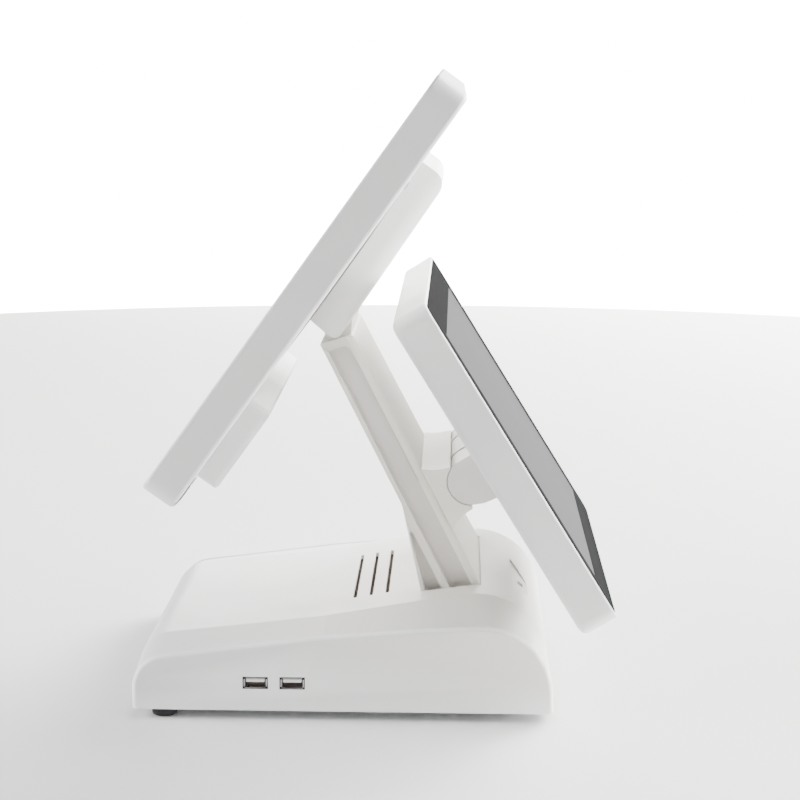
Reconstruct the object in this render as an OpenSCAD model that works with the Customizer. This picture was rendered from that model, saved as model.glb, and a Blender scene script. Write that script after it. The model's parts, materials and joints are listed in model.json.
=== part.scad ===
// Point-of-sale terminal with two screens: a sloped base, a leaning arm, a tilting main touch
// display towards the cashier and a tilting customer display on the arm's back.
// X runs across the screens, the cashier stands at -Y, the customer at +Y, and +Z is up.

/* [Base] */
// Width of the base
base_w = 200; // [184:1:230]
// Depth of the base, front to rear
base_len = 236.4; // [228:1:250]
// Height of the underside above the counter
foot_h = 5.5; // [4:0.5:8]
// Wall of the moulded base cover
base_wall = 2.5; // [2:0.1:3.5]
// Width of the raised crown between the two leaning shoulders
crown_w = 144; // [130:1:156]
// Height of the side flank at its front corner
flank_front_h = 29.6; // [27:0.2:33]
// Height of the side flank under the arm
flank_arm_h = 48.6; // [46:0.2:51]
// Height of the side flank at its rear corner
flank_rear_h = 52.2; // [50:0.2:56]
// Height of the crown at its front corner
crown_front_h = 34.3; // [32:0.2:38]
// Height of the crown where it starts to climb to the arm
crown_kink_h = 46.6; // [44:0.2:50]
// Height of the crown at the arm
crown_arm_h = 57.2; // [54:0.2:60]
// Height of the crown at its rear corner
crown_rear_h = 65.5; // [62:0.2:69]
// Radius of the front nose of the base
nose_r = 20; // [14:1:24]
// Radius of the rounded rear of the base
tail_r = 40; // [34:1:44]
// Radius of the soft edge between flank and shoulder
flank_edge_r = 4; // [2:0.5:6]
// Diameter of a rubber foot
foot_d = 13.5; // [10:0.5:18]

/* [Vents and ports] */
// Number of vent slots in the crown
vent_count = 3; // [1:1:5]
// Length of a vent slot
vent_len = 92; // [60:1:110]
// Width of a vent slot
vent_w = 2; // [1.4:0.1:3]
// Distance between vent slots
vent_pitch = 9.4; // [7:0.1:12]
// Width of a USB receptacle's shell
usb_w = 13.8; // [12.5:0.1:14.5]
// Height of a USB receptacle's shell
usb_h = 6.6; // [5.6:0.1:7.2]
// Distance between the two side USB receptacles
usb_pitch = 20.7; // [18:0.1:26]
// Diameter of the power button
button_d = 10.4; // [8:0.2:13]
// Travel of the power button
button_travel = 1.2; // [0.6:0.1:1.8]

/* [Arm] */
// Angle of the arm above the horizontal
arm_angle = 62.7; // [60:0.1:65]
// Thickness of the arm, front to back
arm_t = 19.4; // [17:0.1:21]
// Width of the arm at its top
arm_top_w = 88; // [80:1:96]
// Width of the arm where it enters the base
arm_foot_w = 108; // [100:1:114]
// Depth of the pockets in the arm's sides
arm_pocket = 4.5; // [3:0.5:6]
// Width of the rim along the arm's front edge
arm_rim = 2.6; // [2:0.1:4]
// Depth of the arm's rear cover
arm_cover_t = 4.8; // [4:0.1:6]

/* [Main display] */
// Width of the main display
main_w = 344; // [330:1:372]
// Height of the main display
main_h = 257.5; // [250:0.5:280]
// Thickness of the main display
main_t = 19; // [18:0.1:22]
// Corner radius of the main display
main_corner_r = 12; // [9:1:18]
// Angle of the main display above the horizontal
main_angle = 54.3; // [50:0.1:60]
// Wall of the main display's housing
main_wall = 2.4; // [2:0.1:3]
// Width of the housing rim round the main glass
main_rim = 3; // [2:0.1:5]
// Width of the hinge housing behind the main display
hinge_box_w = 124; // [116:1:140]
// Height of the hinge housing
hinge_box_h = 107.5; // [100:0.5:116]
// Width of the lower housing behind the main display
low_box_w = 184; // [160:1:200]
// Height of the lower housing
low_box_h = 53.5; // [46:0.5:56]

/* [Customer display] */
// Width of the customer display
cust_w = 239.6; // [230:0.2:246]
// Height of the customer display
cust_h = 201.2; // [192:0.2:206]
// Thickness of the customer display
cust_t = 21.6; // [20:0.1:24]
// Corner radius of the customer display
cust_corner_r = 9; // [6:0.5:12]
// Angle of the customer display above the horizontal
cust_angle = 58.2; // [56:0.1:61]
// Wall of the customer display's housing
cust_wall = 2.2; // [1.8:0.1:2.8]
// Width of the housing rim round the customer glass
cust_rim = 2.3; // [1.6:0.1:3]
// Radius of the customer hinge barrel
barrel_r = 13.7; // [12.5:0.1:14]
// Width of the customer hinge barrel
barrel_w = 103; // [88:1:108]

/* [Fits] */
// Gap between parts that pass each other
gap = 0.4; // [0.3:0.05:0.6]
// Radial running clearance of a hinge shaft
run = 0.05; // [0.02:0.01:0.08]
// Diameter of the hinge shafts
shaft_d = 8; // [6:0.5:9]

/* [Hidden] */
$fn = 48;

arc_steps = 10;

// Heights and places on the base, above its underside and about its centre
nose_y = -base_len / 2;
tail_y = base_len / 2;
kink_y = -14;
climb_y = 45;
plate_t = 2;
plate_in = 0.5;

// Arm: the front edge passes through arm_front
n_y = sin(arm_angle);
arm_front = [-15.8, 204.3];
arm_foot_z = foot_h + 16;
gusset_top_z = 112.5;
gusset_foot_y = 42.8;
gusset_foot_z = 62.3;
slot_front_y = 41.6;
slot_rear_y = 79.4;
collar_w = 150;
seam = 0.25;

// Main display hinge axis, and the slab's place about it
main_axis = [-6.5, 221.7];
main_tilt = 90 - main_angle;
main_lo = -113.2;
main_front = -32;
main_back = main_front + main_t;
main_mid = main_lo + main_h / 2;
glass_t = 3;
hinge_box_lo = -8;
hinge_box_back = 9;
hinge_box_top_back = 6.4;
low_box_back = 2;
low_box_lo = main_lo + 1.2;

// Customer display hinge axis, and the display's place about it
cust_axis = [71.4, 126.9];
cust_tilt = 90 - cust_angle;
cust_top = 108.25;
cust_front = 36.15;
cust_back = cust_front - cust_t;
cust_glass_t = 2.4;
cust_edge = 1.2;

// The rearmost point is the customer display's lower front edge
rear_y = cust_axis[0] + (cust_front - cust_edge) * cos(cust_tilt)
    + (cust_h - cust_top - cust_edge) * sin(cust_tilt) + cust_edge;
shift_y = -(nose_y + rear_y) / 2;

// ---- helpers ----

function unit(v) = v / norm(v);

// Points of a fillet of radius r at corner q between p and s
function fillet(p, q, s, r, n) =
    let (u = unit(p - q), v = unit(s - q),
         half = acos(max(-1, min(1, u * v))) / 2,
         c = q + unit(u + v) * r / sin(half),
         a = q + u * r / tan(half) - c,
         b = q + v * r / tan(half) - c,
         a0 = atan2(a[1], a[0]),
         raw = atan2(b[1], b[0]) - a0,
         turn = raw > 180 ? raw - 360 : raw < -180 ? raw + 360 : raw)
    [for (i = [0:n]) c + r * [cos(a0 + turn * i / n), sin(a0 + turn * i / n)]];

// Closed outline through corners given as [x, y, radius]
function outline(c, n = arc_steps) =
    let (m = len(c))
    [for (i = [0:m - 1])
        let (q = c[i], p = c[(i + m - 1) % m], s = c[(i + 1) % m])
        each (q[2] == 0 ? [[q[0], q[1]]]
            : fillet([p[0], p[1]], [q[0], q[1]], [s[0], s[1]], q[2], n))];

function plate_outline(w, h, r, n = arc_steps) =
    outline([[-w / 2, -h / 2, r], [w / 2, -h / 2, r], [w / 2, h / 2, r], [-w / 2, h / 2, r]], n);

// Extrudes an outline drawn in the Y-Z plane across X, centred
module across(w) {
    translate([-w / 2, 0, 0]) rotate([90, 0, 90]) linear_extrude(w) children();
}

// Extrudes an outline drawn in the X-Z plane along Y, from y0 to y1
module along(y0, y1) {
    translate([0, y1, 0]) rotate([90, 0, 0]) linear_extrude(y1 - y0) children();
}

// Cylinder across X, from x0 to x1
module rod(x0, x1, r) {
    translate([x0, 0, 0]) rotate([0, 90, 0]) cylinder(h = x1 - x0, r = r);
}

// Solid through rings of points; ring k holds [x, outline in Y-Z]
module loft(rings) {
    m = len(rings[0][1]);
    k = len(rings);
    pts = [for (g = rings) for (p = g[1]) [g[0], p[0], p[1]]];
    walls = [for (i = [0:k - 2]) for (j = [0:m - 1])
        [i * m + j, i * m + (j + 1) % m, (i + 1) * m + (j + 1) % m, (i + 1) * m + j]];
    caps = [[for (j = [0:m - 1]) m - 1 - j], [for (j = [0:m - 1]) (k - 1) * m + j]];
    polyhedron(pts, concat(walls, caps), convexity = 8);
}

module on_base() {
    translate([0, shift_y, 0]) children();
}

module on_main() {
    translate([0, shift_y + main_axis[0], main_axis[1]]) rotate([-main_tilt, 0, 0]) children();
}

module on_cust() {
    translate([0, shift_y + cust_axis[0], cust_axis[1]]) rotate([cust_tilt, 0, 0]) children();
}

module mirrored() {
    children();
    mirror([1, 0, 0]) children();
}

// ---- base ----

// Side outline of the flank, drawn in by i, with its underside at z0
function flank(i, z0) = outline([
    [nose_y + i, z0, 0], [nose_y + i, flank_front_h - i, nose_r - i],
    [kink_y, flank_kink_h - i, 150], [climb_y, flank_arm_h - i, 150],
    [tail_y - i, flank_rear_h - i, tail_r - i], [tail_y - i, z0, 0]]);

// Side outline of the crown, drawn in by i
function crown(i, z0) = outline([
    [nose_y + i, z0, 0], [nose_y + i, crown_front_h - i, nose_r + 1 - i],
    [kink_y, crown_kink_h - i, 150], [climb_y, crown_arm_h - i, 150],
    [tail_y + 0.5 - i, crown_rear_h - i, tail_r - i], [tail_y + 0.5 - i, z0, 0]]);

flank_kink_h = 43.4;

// Outer skin of the base drawn in by i
module base_skin(i, z0) {
    r = max(0.5, flank_edge_r - i);
    w = base_w / 2 - i;
    side = [for (a = [0, 30, 60, 90]) [w - r + r * sin(a), flank(i + r * (1 - cos(a)), z0)]];
    right = concat([[crown_w / 2 - i * 0.4, crown(i, z0)]], side);
    left = [for (k = [len(right) - 1:-1:0]) [-right[k][0], right[k][1]]];
    loft(concat(left, right));
}

// Height of the cover's outer face above the underside at x, y (clear of nose and tail)
function crown_z(y) = y < kink_y
    ? crown_kink_h + (y - kink_y) * (crown_kink_h - crown_front_h) / (kink_y - nose_y)
    : y < climb_y ? crown_kink_h + (y - kink_y) * (crown_arm_h - crown_kink_h) / (climb_y - kink_y)
    : crown_arm_h + (y - climb_y) * (crown_rear_h - crown_arm_h) / (tail_y - climb_y);
function flank_z(y) = y < kink_y
    ? flank_kink_h + (y - kink_y) * (flank_kink_h - flank_front_h) / (kink_y - nose_y)
    : y < climb_y ? flank_kink_h + (y - kink_y) * (flank_arm_h - flank_kink_h) / (climb_y - kink_y)
    : flank_arm_h + (y - climb_y) * (flank_rear_h - flank_arm_h) / (tail_y - climb_y);
shoulder_w = (base_w - 2 * flank_edge_r - crown_w) / 2;
function cover_z(x, y) =
    let (t = max(0, min(1, (abs(x) - crown_w / 2) / shoulder_w)))
    crown_z(y) * (1 - t) + flank_z(y) * t;

boss_spots = [[84, -68], [84, 22], [86, 72]];
boss_d = 8;
screw_d = 3;
head_d = 5.6;

usb_y = [-48.6, -48.6 + usb_pitch];
usb_z = 16.2;
usb_depth = 14;
button_y = -82;
button_z = 16;
io_z0 = 3.6;
io_z1 = 20;

vent_y0 = 4.2;

module vent_cut(len, w) {
    translate([-len / 2 + w / 2, -w / 2, 0]) cube([len - w, w, 40]);
    for (s = [-1, 1]) translate([s * (len - w) / 2, 0, 0]) cylinder(h = 40, d = w, $fn = 24);
}

module base_cover() {
    color("whitesmoke") on_base() translate([0, 0, foot_h]) difference() {
        union() {
            difference() {
                base_skin(0, 0);
                base_skin(base_wall, -1);
            }
            intersection() {
                for (s = [-1, 1], b = boss_spots)
                    translate([s * b[0], b[1], plate_in + plate_t]) cylinder(h = 60, d = boss_d);
                base_skin(1, 0);
            }
        }
        for (k = [0:vent_count - 1])
            translate([0, vent_y0 + k * vent_pitch, crown_kink_h - 14]) vent_cut(vent_len, vent_w);
        translate([-collar_w / 2 - seam, slot_front_y - seam, crown_kink_h - 10])
            cube([collar_w + 2 * seam, slot_rear_y - slot_front_y + 2 * seam, 60]);
        for (y = usb_y)
            translate([base_w / 2 - 8, y - usb_w / 2 - gap / 2, usb_z - usb_h / 2 - gap / 2])
                cube([20, usb_w + gap, usb_h + gap]);
        translate([-base_w / 2 - 1, button_y, button_z]) rod(0, 12, button_d / 2 + gap);
        translate([-io_w / 2, tail_y - 12, io_z0]) cube([io_w, 30, io_z1 - io_z0]);
        for (s = [-1, 1], b = boss_spots)
            translate([s * b[0], b[1], 0]) cylinder(h = 14, d = screw_d - 0.4, $fn = 24);
    }
}

// Flush panel round the arm, with a skirt down the slot
module neck_collar() {
    x = arm_foot_w / 2 + gap;
    color("whitesmoke") on_base() translate([0, 0, foot_h]) difference() {
        union() {
            intersection() {
                difference() {
                    base_skin(0, 0);
                    base_skin(base_wall, -1);
                }
                translate([-collar_w / 2, slot_front_y, crown_kink_h - 10])
                    cube([collar_w, slot_rear_y - slot_front_y, 60]);
            }
            intersection() {
                translate([-x - 2, slot_front_y + 0.01, crown_kink_h - 10])
                    cube([2 * x + 4, slot_rear_y - slot_front_y - 0.02, 60]);
                base_skin(1, 0);
            }
        }
        translate([0, 0, -foot_h]) {
            across(2 * x) polygon([
                [arm_front_y(collar_low) - gap, collar_low], [arm_front_y(90) - gap, 90],
                [arm_at_z(90, arm_t)[0] + gap, 90], [arm_at_z(collar_low, arm_t)[0] + gap, collar_low]]);
        }
    }
}
collar_low = foot_h + 20;
function arm_front_y(z) = gusset_foot_y + (gusset_foot_z - z) * gusset_slope;

plate_w = base_w - 2 * base_wall - 2 * gap;
plate_len = base_len - 2 * base_wall - 2 * gap - 1;
feet_front = [base_w / 2 - 14, nose_y + 15.5];
feet_rear = [base_w / 2 - 27, tail_y - 20];
foot_spots = [for (s = [-1, 1], f = [feet_front, feet_rear]) [s * f[0], f[1]]];
foot_plug_d = 6;

module bottom_plate() {
    color("silver") on_base() translate([0, 0, foot_h + plate_in]) difference() {
        linear_extrude(plate_t) difference() {
            polygon(plate_outline(plate_w, plate_len, 7));
            for (f = foot_spots) translate(f) circle(d = foot_plug_d + gap);
            for (s = [-1, 1], b = boss_spots) translate([s * b[0], b[1]]) circle(d = screw_d + gap);
            for (p = foot_screw_spots) translate(p) circle(d = 4.3);
            for (s = [-1, 1], k = [-4:4]) translate([s * 42 - 14, k * 8 - 40]) square([28, 3]);
            for (k = [-2:2]) translate([-78 + k * 6, 62]) square([2.5, 26]);
        }
    }
}

module rubber_feet() {
    color([0.06, 0.06, 0.06]) on_base() for (f = foot_spots) translate([f[0], f[1], 0]) {
        rotate_extrude() polygon(concat([[0, 0]],
            [for (a = [-90:15:0]) [foot_d / 2 - 1.5 + 1.5 * cos(a), 1.5 + 1.5 * sin(a)]],
            [[foot_d / 2, foot_h + plate_in], [0, foot_h + plate_in]]));
        translate([0, 0, foot_h + plate_in - 0.01]) cylinder(h = plate_t + 1, d = foot_plug_d);
    }
}

module base_screws() {
    color("silver") on_base() for (s = [-1, 1], b = boss_spots)
        translate([s * b[0], b[1], foot_h + plate_in]) {
            translate([0, 0, -1.6]) difference() {
                cylinder(h = 1.6, d = head_d);
                translate([-1.6, -0.4, -0.1]) cube([3.2, 0.8, 0.9]);
                translate([-0.4, -1.6, -0.1]) cube([0.8, 3.2, 0.9]);
            }
            translate([0, 0, -0.01]) cylinder(h = 10, d = screw_d - 0.4, $fn = 24);
        }
}

board_z = usb_z - usb_h / 2;
board_t = 1.6;
board_x = [-72, 77];
board_y = [-100, 34];
standoff_spots = [for (x = [board_x[0] + 6, board_x[1] - 7], y = [board_y[0] + 8, board_y[1] - 6]) [x, y]];

module mainboard() {
    color("darkgreen") on_base() translate([0, 0, foot_h + board_z - board_t]) {
        difference() {
            union() {
                translate([board_x[0], board_y[0], 0])
                    cube([board_x[1] - board_x[0], board_y[1] - board_y[0], board_t]);
                translate([board_x[1] - 1, usb_y[0] - 12, 0])
                    cube([base_w / 2 - base_wall - 1.5 - board_x[1] + 1, usb_pitch + 24, board_t]);
            }
            for (p = standoff_spots) translate([p[0], p[1], -1]) cylinder(h = 4, d = 3.4, $fn = 24);
        }
        translate([40, -14, board_t]) cube([30, 5, 4]);
        translate([40, -4, board_t]) cube([30, 5, 4]);
        translate([-60, -14, board_t]) cube([18, 30, 3]);
    }
}

module board_standoffs() {
    color("goldenrod") on_base() for (p = standoff_spots)
        translate([p[0], p[1], foot_h + plate_in + plate_t]) {
            cylinder(h = board_z - board_t - plate_in - plate_t, d = 6);
            cylinder(h = board_z - plate_in - plate_t + 1, d = 3);
            translate([0, 0, board_z - plate_in - plate_t]) cylinder(h = 1.8, d = 5.5);
        }
}

sink = [54, 48, 17];
sink_y = 4;
fin_count = 10;

module heat_sink() {
    color("silver") on_base() translate([-sink[0] / 2, sink_y - sink[1] / 2, foot_h + board_z]) {
        cube([sink[0], sink[1], 4]);
        for (k = [0:fin_count - 1])
            translate([k * (sink[0] - 1.6) / (fin_count - 1), 0, 3.9]) cube([1.6, sink[1], sink[2] - 3.9]);
    }
}

ssd = [100, 69.8, 7];

module solid_state_drive() {
    color("dimgray") on_base()
        translate([-62, -98, foot_h + board_z + 4]) difference() {
            cube(ssd);
            translate([3, 3, ssd[2] - 0.4]) cube([ssd[0] - 6, ssd[1] - 6, 1]);
        }
    color("dimgray") on_base() for (x = [-56, 30], y = [-90, -36])
        translate([x, y, foot_h + board_z]) cylinder(h = 4, d = 5);
}

module speaker() {
    color("black") on_base() translate([-76, 51, foot_h + plate_in + plate_t]) difference() {
        cylinder(h = 12, d = 30);
        translate([0, 0, -1]) cylinder(h = 7, r1 = 13, r2 = 7);
    }
}

module usb_shell_cut() {
    t = 0.4;
    translate([-1, -usb_w / 2 + t, -usb_h / 2 + t]) cube([usb_depth, usb_w - 2 * t, usb_h - 2 * t]);
}

// A USB receptacle's shell with its mouth at +X
module usb_shell() {
    difference() {
        translate([-usb_depth, -usb_w / 2, -usb_h / 2]) cube([usb_depth, usb_w, usb_h]);
        translate([-usb_depth + 1.4, 0, 0]) usb_shell_cut();
        translate([-usb_depth + 1.4 + usb_depth - 2, 0, 0]) usb_shell_cut();
        for (s = [-1, 1]) translate([-8, s * 3 - 1, usb_h / 2 - 0.6]) cube([4, 2, 1]);
    }
}

module side_usb_shells() {
    color("silver") on_base() for (y = usb_y)
        translate([base_w / 2 + 0.2, y, foot_h + usb_z]) usb_shell();
}

tongue = [10.6, 11, 1.9];

module side_usb_tongues() {
    color([0.1, 0.1, 0.1]) on_base() for (y = usb_y)
        translate([base_w / 2 + 0.2 - usb_depth + 0.4, y - tongue[1] / 2, foot_h + usb_z + 0.4])
            cube(tongue);
}

io_board_z = 3.4;
io_board_y = 96.5;
io_top = io_board_z + board_t;
io_face = tail_y - 2;
io_plate_y = tail_y - base_wall - 3;

module io_board() {
    color("darkgreen") on_base() translate([-io_w / 2 + 2, io_board_y, foot_h + io_board_z])
        cube([io_w - 4, io_plate_y - io_board_y - 0.2, board_t]);
}

// Rear connectors in a row from -X to +X: width, height, depth
io_sizes = [[9.4, 11, 14], [16, 13.4, 19], [14.6, 14.6, 18], [31, 12, 14], [31, 12, 14], [13.4, 12.4, 16]];
io_gap = 2.9;
function io_run(k) = k == 0 ? 0 : io_run(k - 1) + io_sizes[k - 1][0] + io_gap;
io_span = io_run(len(io_sizes)) - io_gap;
io_w = io_span + 8;
function port(k) = [each io_sizes[k], io_run(k) + io_sizes[k][0] / 2 - io_span / 2];
inlet = port(0);
net = port(1);
stack = port(2);
video = port(3);
serial = port(4);
drawer = port(5);

module port_window(p, grow) {
    translate([p[3] - p[0] / 2 - grow, -5, io_top - grow]) cube([p[0] + 2 * grow, 12, p[1] + 2 * grow]);
}

module io_bracket() {
    color("silver") on_base() translate([0, io_plate_y, foot_h]) difference() {
        translate([-io_w / 2 - 3, 0, plate_in + plate_t]) cube([io_w + 6, 1, io_z1 - plate_in - plate_t + 1]);
        for (p = [net, stack, video, serial, drawer, inlet]) port_window(p, gap / 2);
    }
}

// A connector body with its face at +Y; children are cut from it
module connector(p) {
    on_base() translate([p[3], io_face - p[2], foot_h + io_top]) difference() {
        translate([-p[0] / 2, 0, 0]) cube([p[0], p[2], p[1]]);
        translate([0, p[2], 0]) children();
    }
}

module network_jack() {
    color("silver") connector(net) {
        translate([-5.9, -12, 1.6]) cube([11.8, 13, 7.6]);
        translate([-3.2, -12, 9.1]) cube([6.4, 13, 2]);
    }
}

module rear_usb_stack() {
    color("silver") connector(stack) {
        for (z = [1, 8.2]) difference() {
            translate([-6.2, -12, z]) cube([12.4, 13, 5]);
            translate([-5.4, -12, z + 2.7]) cube([10.8, 10.4, 1.8]);
        }
    }
}

// D-shaped port: pins sit in a shell that stands out of the flange
module d_port(p, tint) {
    color(tint) on_base() translate([p[3], io_face - p[2], foot_h + io_top]) {
        translate([-p[0] / 2, 0, 0]) cube([p[0], p[2] - 5.5, p[1]]);
        translate([0, p[2] - 5.6, p[1] / 2]) rotate([-90, 0, 0]) difference() {
            linear_extrude(5.6) polygon(outline([[-8.4, 4, 1.5], [-9, -4, 1.5], [9, -4, 1.5], [8.4, 4, 1.5]], 4));
            translate([0, 0, 2]) linear_extrude(5)
                polygon(outline([[-7.8, 3.4, 1.2], [-8.4, -3.4, 1.2], [8.4, -3.4, 1.2], [7.8, 3.4, 1.2]], 4));
        }
        for (s = [-1, 1]) translate([s * 12.5, p[2] - 5.6, p[1] / 2]) rotate([-90, 0, 0])
            cylinder(h = 4, d = 4.8, $fn = 6);
    }
}

module video_port() {
    d_port(video, "royalblue");
}

module serial_port() {
    d_port(serial, "silver");
}

module drawer_jack() {
    color("black") connector(drawer) {
        translate([-4.9, -10, 2]) cube([9.8, 11, 6.6]);
        translate([-2, -10, 8.5]) cube([4, 11, 2]);
    }
}

module power_inlet() {
    color("black") {
        connector(inlet) translate([0, -10, 5.5]) rotate([-90, 0, 0]) cylinder(h = 11, d = 6.2);
        on_base() translate([inlet[3], io_face - 10.5, foot_h + io_top + 5.5]) rotate([-90, 0, 0])
            cylinder(h = 9, d = 2.1, $fn = 24);
    }
}

button_len = 7;
switch_x = -base_w / 2 + button_len + button_travel + 1.4;

module power_button() {
    color("whitesmoke") on_base() translate([0, button_y, foot_h + button_z]) {
        rod(-base_w / 2 - 0.8, -base_w / 2 + 3.5, button_d / 2);
        rod(-base_w / 2 + 3.4, -base_w / 2 + 4.6, button_d / 2 + 1.6);
        rod(-base_w / 2 + 4.5, -base_w / 2 + button_len, 2);
    }
}

module power_switch() {
    color("black") on_base() translate([0, button_y, foot_h]) {
        translate([switch_x, -4, button_z - 4]) cube([5, 8, 8]);
        translate([0, 0, button_z]) rod(switch_x - 1, switch_x + 0.1, 1.6);
        translate([switch_x + 4.9, -7, plate_in + plate_t]) cube([1.6, 14, button_z + 6 - plate_in - plate_t]);
    }
}

// ---- arm ----

// Point on the arm: s above the base line along the arm, t behind the front edge
function arm_at_z(z, t) = [arm_front[0] + (arm_front[1] - z) / tan(arm_angle) + t / n_y, z];

// Side outline of the whole arm down to height z0
function arm_side(z0) = outline([
    [arm_front[0], arm_top_z(arm_front[0]), 0.8],
    [gusset_top_y, gusset_top_z, 6],
    [gusset_foot_y + (gusset_foot_z - z0) * gusset_slope, z0, 0],
    [arm_at_z(z0, arm_t)[0], z0, 0],
    [arm_top_back[0], arm_top_back[1], 2.4]], 6);
gusset_top_y = arm_at_z(gusset_top_z, 0)[0];
gusset_slope = (gusset_foot_y - gusset_top_y) / (gusset_top_z - gusset_foot_z);
arm_top_slope = 16;
// Where the sloping top meets the rear face
arm_top_back = let (c = tan(arm_angle), y = arm_front[0] + arm_t / n_y * c / (tan(arm_top_slope) + c))
    [y, arm_top_z(y)];
function arm_top_z(y) = arm_front[1] + 0.4 + (y - arm_front[0]) * tan(arm_top_slope);

// Prism whose sides lean in from the arm's foot to its top, drawn in by i
module arm_taper(i) {
    lo = arm_foot_w / 2 - i;
    hi = arm_half_w(arm_reach) - i;
    along(-60, 140) polygon([[-lo, 0], [lo, 0], [lo, gusset_foot_z], [hi, arm_reach],
        [-hi, arm_reach], [-lo, gusset_foot_z]]);
}
arm_reach = 230;

// The strip of the side view between depths t0 and t1 behind the front edge
module arm_strip(t0, t1, z0 = 0, z1 = arm_reach) {
    polygon([arm_at_z(z0, t0), arm_at_z(z0, t1), arm_at_z(z1, t1), arm_at_z(z1, t0)]);
}

cover_line = arm_t - arm_cover_t;
spine_t = 3;
spine_w = 64;
spine_d0 = 6.2;

module arm_shell() {
    color("whitesmoke") on_base() difference() {
        intersection() {
            across(160) polygon(arm_side(arm_foot_z));
            arm_taper(0);
        }
        // the rear cover's room
        across(170) arm_strip(cover_line, 60);
        // side pockets in the beam and in the foot gusset
        difference() {
            across(170) union() {
                polygon(outline([
                    arm_corner(arm_front[1] - 4, arm_rim, 1), arm_corner(arm_foot_z - 2, arm_rim, 0),
                    arm_corner(arm_foot_z - 2, cover_line, 0), arm_corner(arm_front[1] + 0.4, cover_line, 5)]));
                polygon(outline([
                    [gusset_top_y + 2.2, gusset_top_z - 8, 1],
                    [arm_front_y(gusset_foot_z - 12) + 3, gusset_foot_z - 12, 0],
                    arm_corner(gusset_foot_z - 12, -1.4, 0)], 4));
            }
            arm_taper(arm_pocket);
        }
        // hollow for the spine and the cables
        intersection() {
            across(170) arm_strip(3, 60, arm_foot_z - 1, arm_front[1] - 4);
            arm_taper(arm_pocket + 2.4);
        }
        ear_opening();
    }
}

function arm_corner(z, t, r) = [arm_at_z(z, t)[0], z, r];

// Opening in the arm's top that the steel ears rise through
module ear_opening() {
    z = arm_front[1] - 10;
    across(2 * (ear_x + ear_t) + 1.6) polygon([
        [neck_front + 1.4, arm_reach], [neck_back - 2.4, arm_reach], [neck_back - 2.4, z], [neck_front + 5, z]]);
}

module arm_rear_cover() {
    r = 3;
    color("whitesmoke") on_base() difference() {
        intersection() {
            across(160) difference() {
                polygon(arm_side(arm_foot_z));
                arm_strip(-40, cover_line + 0.15);
            }
            hull() for (z = [arm_foot_z - 4, arm_top_back[1] + 4])
                translate([0, arm_at_z(z, 0)[0], z]) rotate([90 - arm_angle, 0, 0])
                    linear_extrude(0.1) polygon(outline(
                        let (h = arm_half_w(z))
                        [[-h, -20, 0], [h, -20, 0], [h, arm_t, r], [-h, arm_t, r]], 6));
        }
        intersection() {
            across(170) arm_strip(0, arm_t - 2.4, arm_foot_z - 1, arm_front[1] - 4);
            arm_taper(arm_pocket + 2.4);
        }
        translate([0, cradle_seat[0], cradle_seat[1]]) rotate([90 - arm_angle, 0, 0])
            translate([-yoke_x - yoke_t / 2 - 3, -6, -yoke_r - 1]) cube([2 * yoke_x + yoke_t + 6, 12, 2 * yoke_r + 2]);
        ear_opening();
    }
}
function arm_half_w(z) = arm_foot_w / 2
    - max(0, z - gusset_foot_z) * (arm_foot_w - arm_top_w) / 2 / (arm_front[1] - gusset_foot_z);

module arm_spine() {
    color("silver") on_base() difference() {
        across(spine_w) arm_strip(spine_d0, spine_d0 + spine_t, foot_h + 26, arm_front[1] - 4.6);
        spine_holes();
    }
}

module spine_holes() {
    for (s = [-1, 1], z = [foot_h + 34, foot_h + 44])
        translate([s * 24, arm_at_z(z, spine_d0)[0], z]) rotate([90 - arm_angle, 0, 0]) rotate([90, 0, 0])
            translate([0, 0, -9]) cylinder(h = 12, d = 4, $fn = 24);
}

spine_back = spine_d0 + spine_t;
bracket_t = 2.6;
bracket_knee = foot_h + 20;
bracket_top = foot_h + 50;

// Steel foot: a plate on the bottom plate and an upright that the spine bolts to
foot_plate = [104, 47.5, 3];
foot_plate_y = 48;
foot_screw_spots = [for (x = [-44, 44], y = [55, 84]) [x, y]];

module arm_foot_bracket() {
    z0 = foot_h + plate_in + plate_t;
    color("silver") on_base() difference() {
        union() {
            translate([-foot_plate[0] / 2, foot_plate_y, z0]) cube(foot_plate);
            across(spine_w) polygon([
                [foot_plate_y + 40, z0 + 0.5], [foot_plate_y + foot_plate[1] - 0.5, z0 + 0.5],
                [foot_plate_y + foot_plate[1] - 0.5, z0 + foot_plate[2]],
                arm_at_z(bracket_knee, spine_back + bracket_t), arm_at_z(bracket_top, spine_back + bracket_t),
                arm_at_z(bracket_top, spine_back), arm_at_z(bracket_knee, spine_back),
                [foot_plate_y + 40, z0 + foot_plate[2]]]);
        }
        for (p = foot_screw_spots) translate([p[0], p[1], 0]) cylinder(h = z0 + 4, d = 4.3, $fn = 24);
        spine_holes();
    }
}

module arm_screws() {
    color("silver") on_base() {
        for (s = [-1, 1], z = [foot_h + 34, foot_h + 44])
            translate([s * 24, arm_at_z(z, spine_d0)[0], z]) rotate([90 - arm_angle, 0, 0])
                rotate([90, 0, 0]) {
                    cylinder(h = 2.2, d = 7);
                    translate([0, 0, -6]) cylinder(h = 6.01, d = 4, $fn = 24);
                }
        for (p = foot_screw_spots) translate([p[0], p[1], foot_h + plate_in]) {
            cylinder(h = plate_t + foot_plate[2] + 0.01, d = 4, $fn = 24);
            translate([0, 0, plate_t + foot_plate[2]]) cylinder(h = 2.4, d = 7.5);
        }
    }
}

// ---- main tilt hinge ----

ear_t = 3;
ear_x = 32.5;
ear_r = 6.4;
leaf_r = 5.6;
neck_w = 80;
neck_r = 9.5;
neck_wall = 2.2;
neck_front = -12.2;
neck_back = arm_top_back[0] - 1.3;
washer_x = neck_w / 2 + 0.3;
leaf_x = washer_x + 2;

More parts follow.
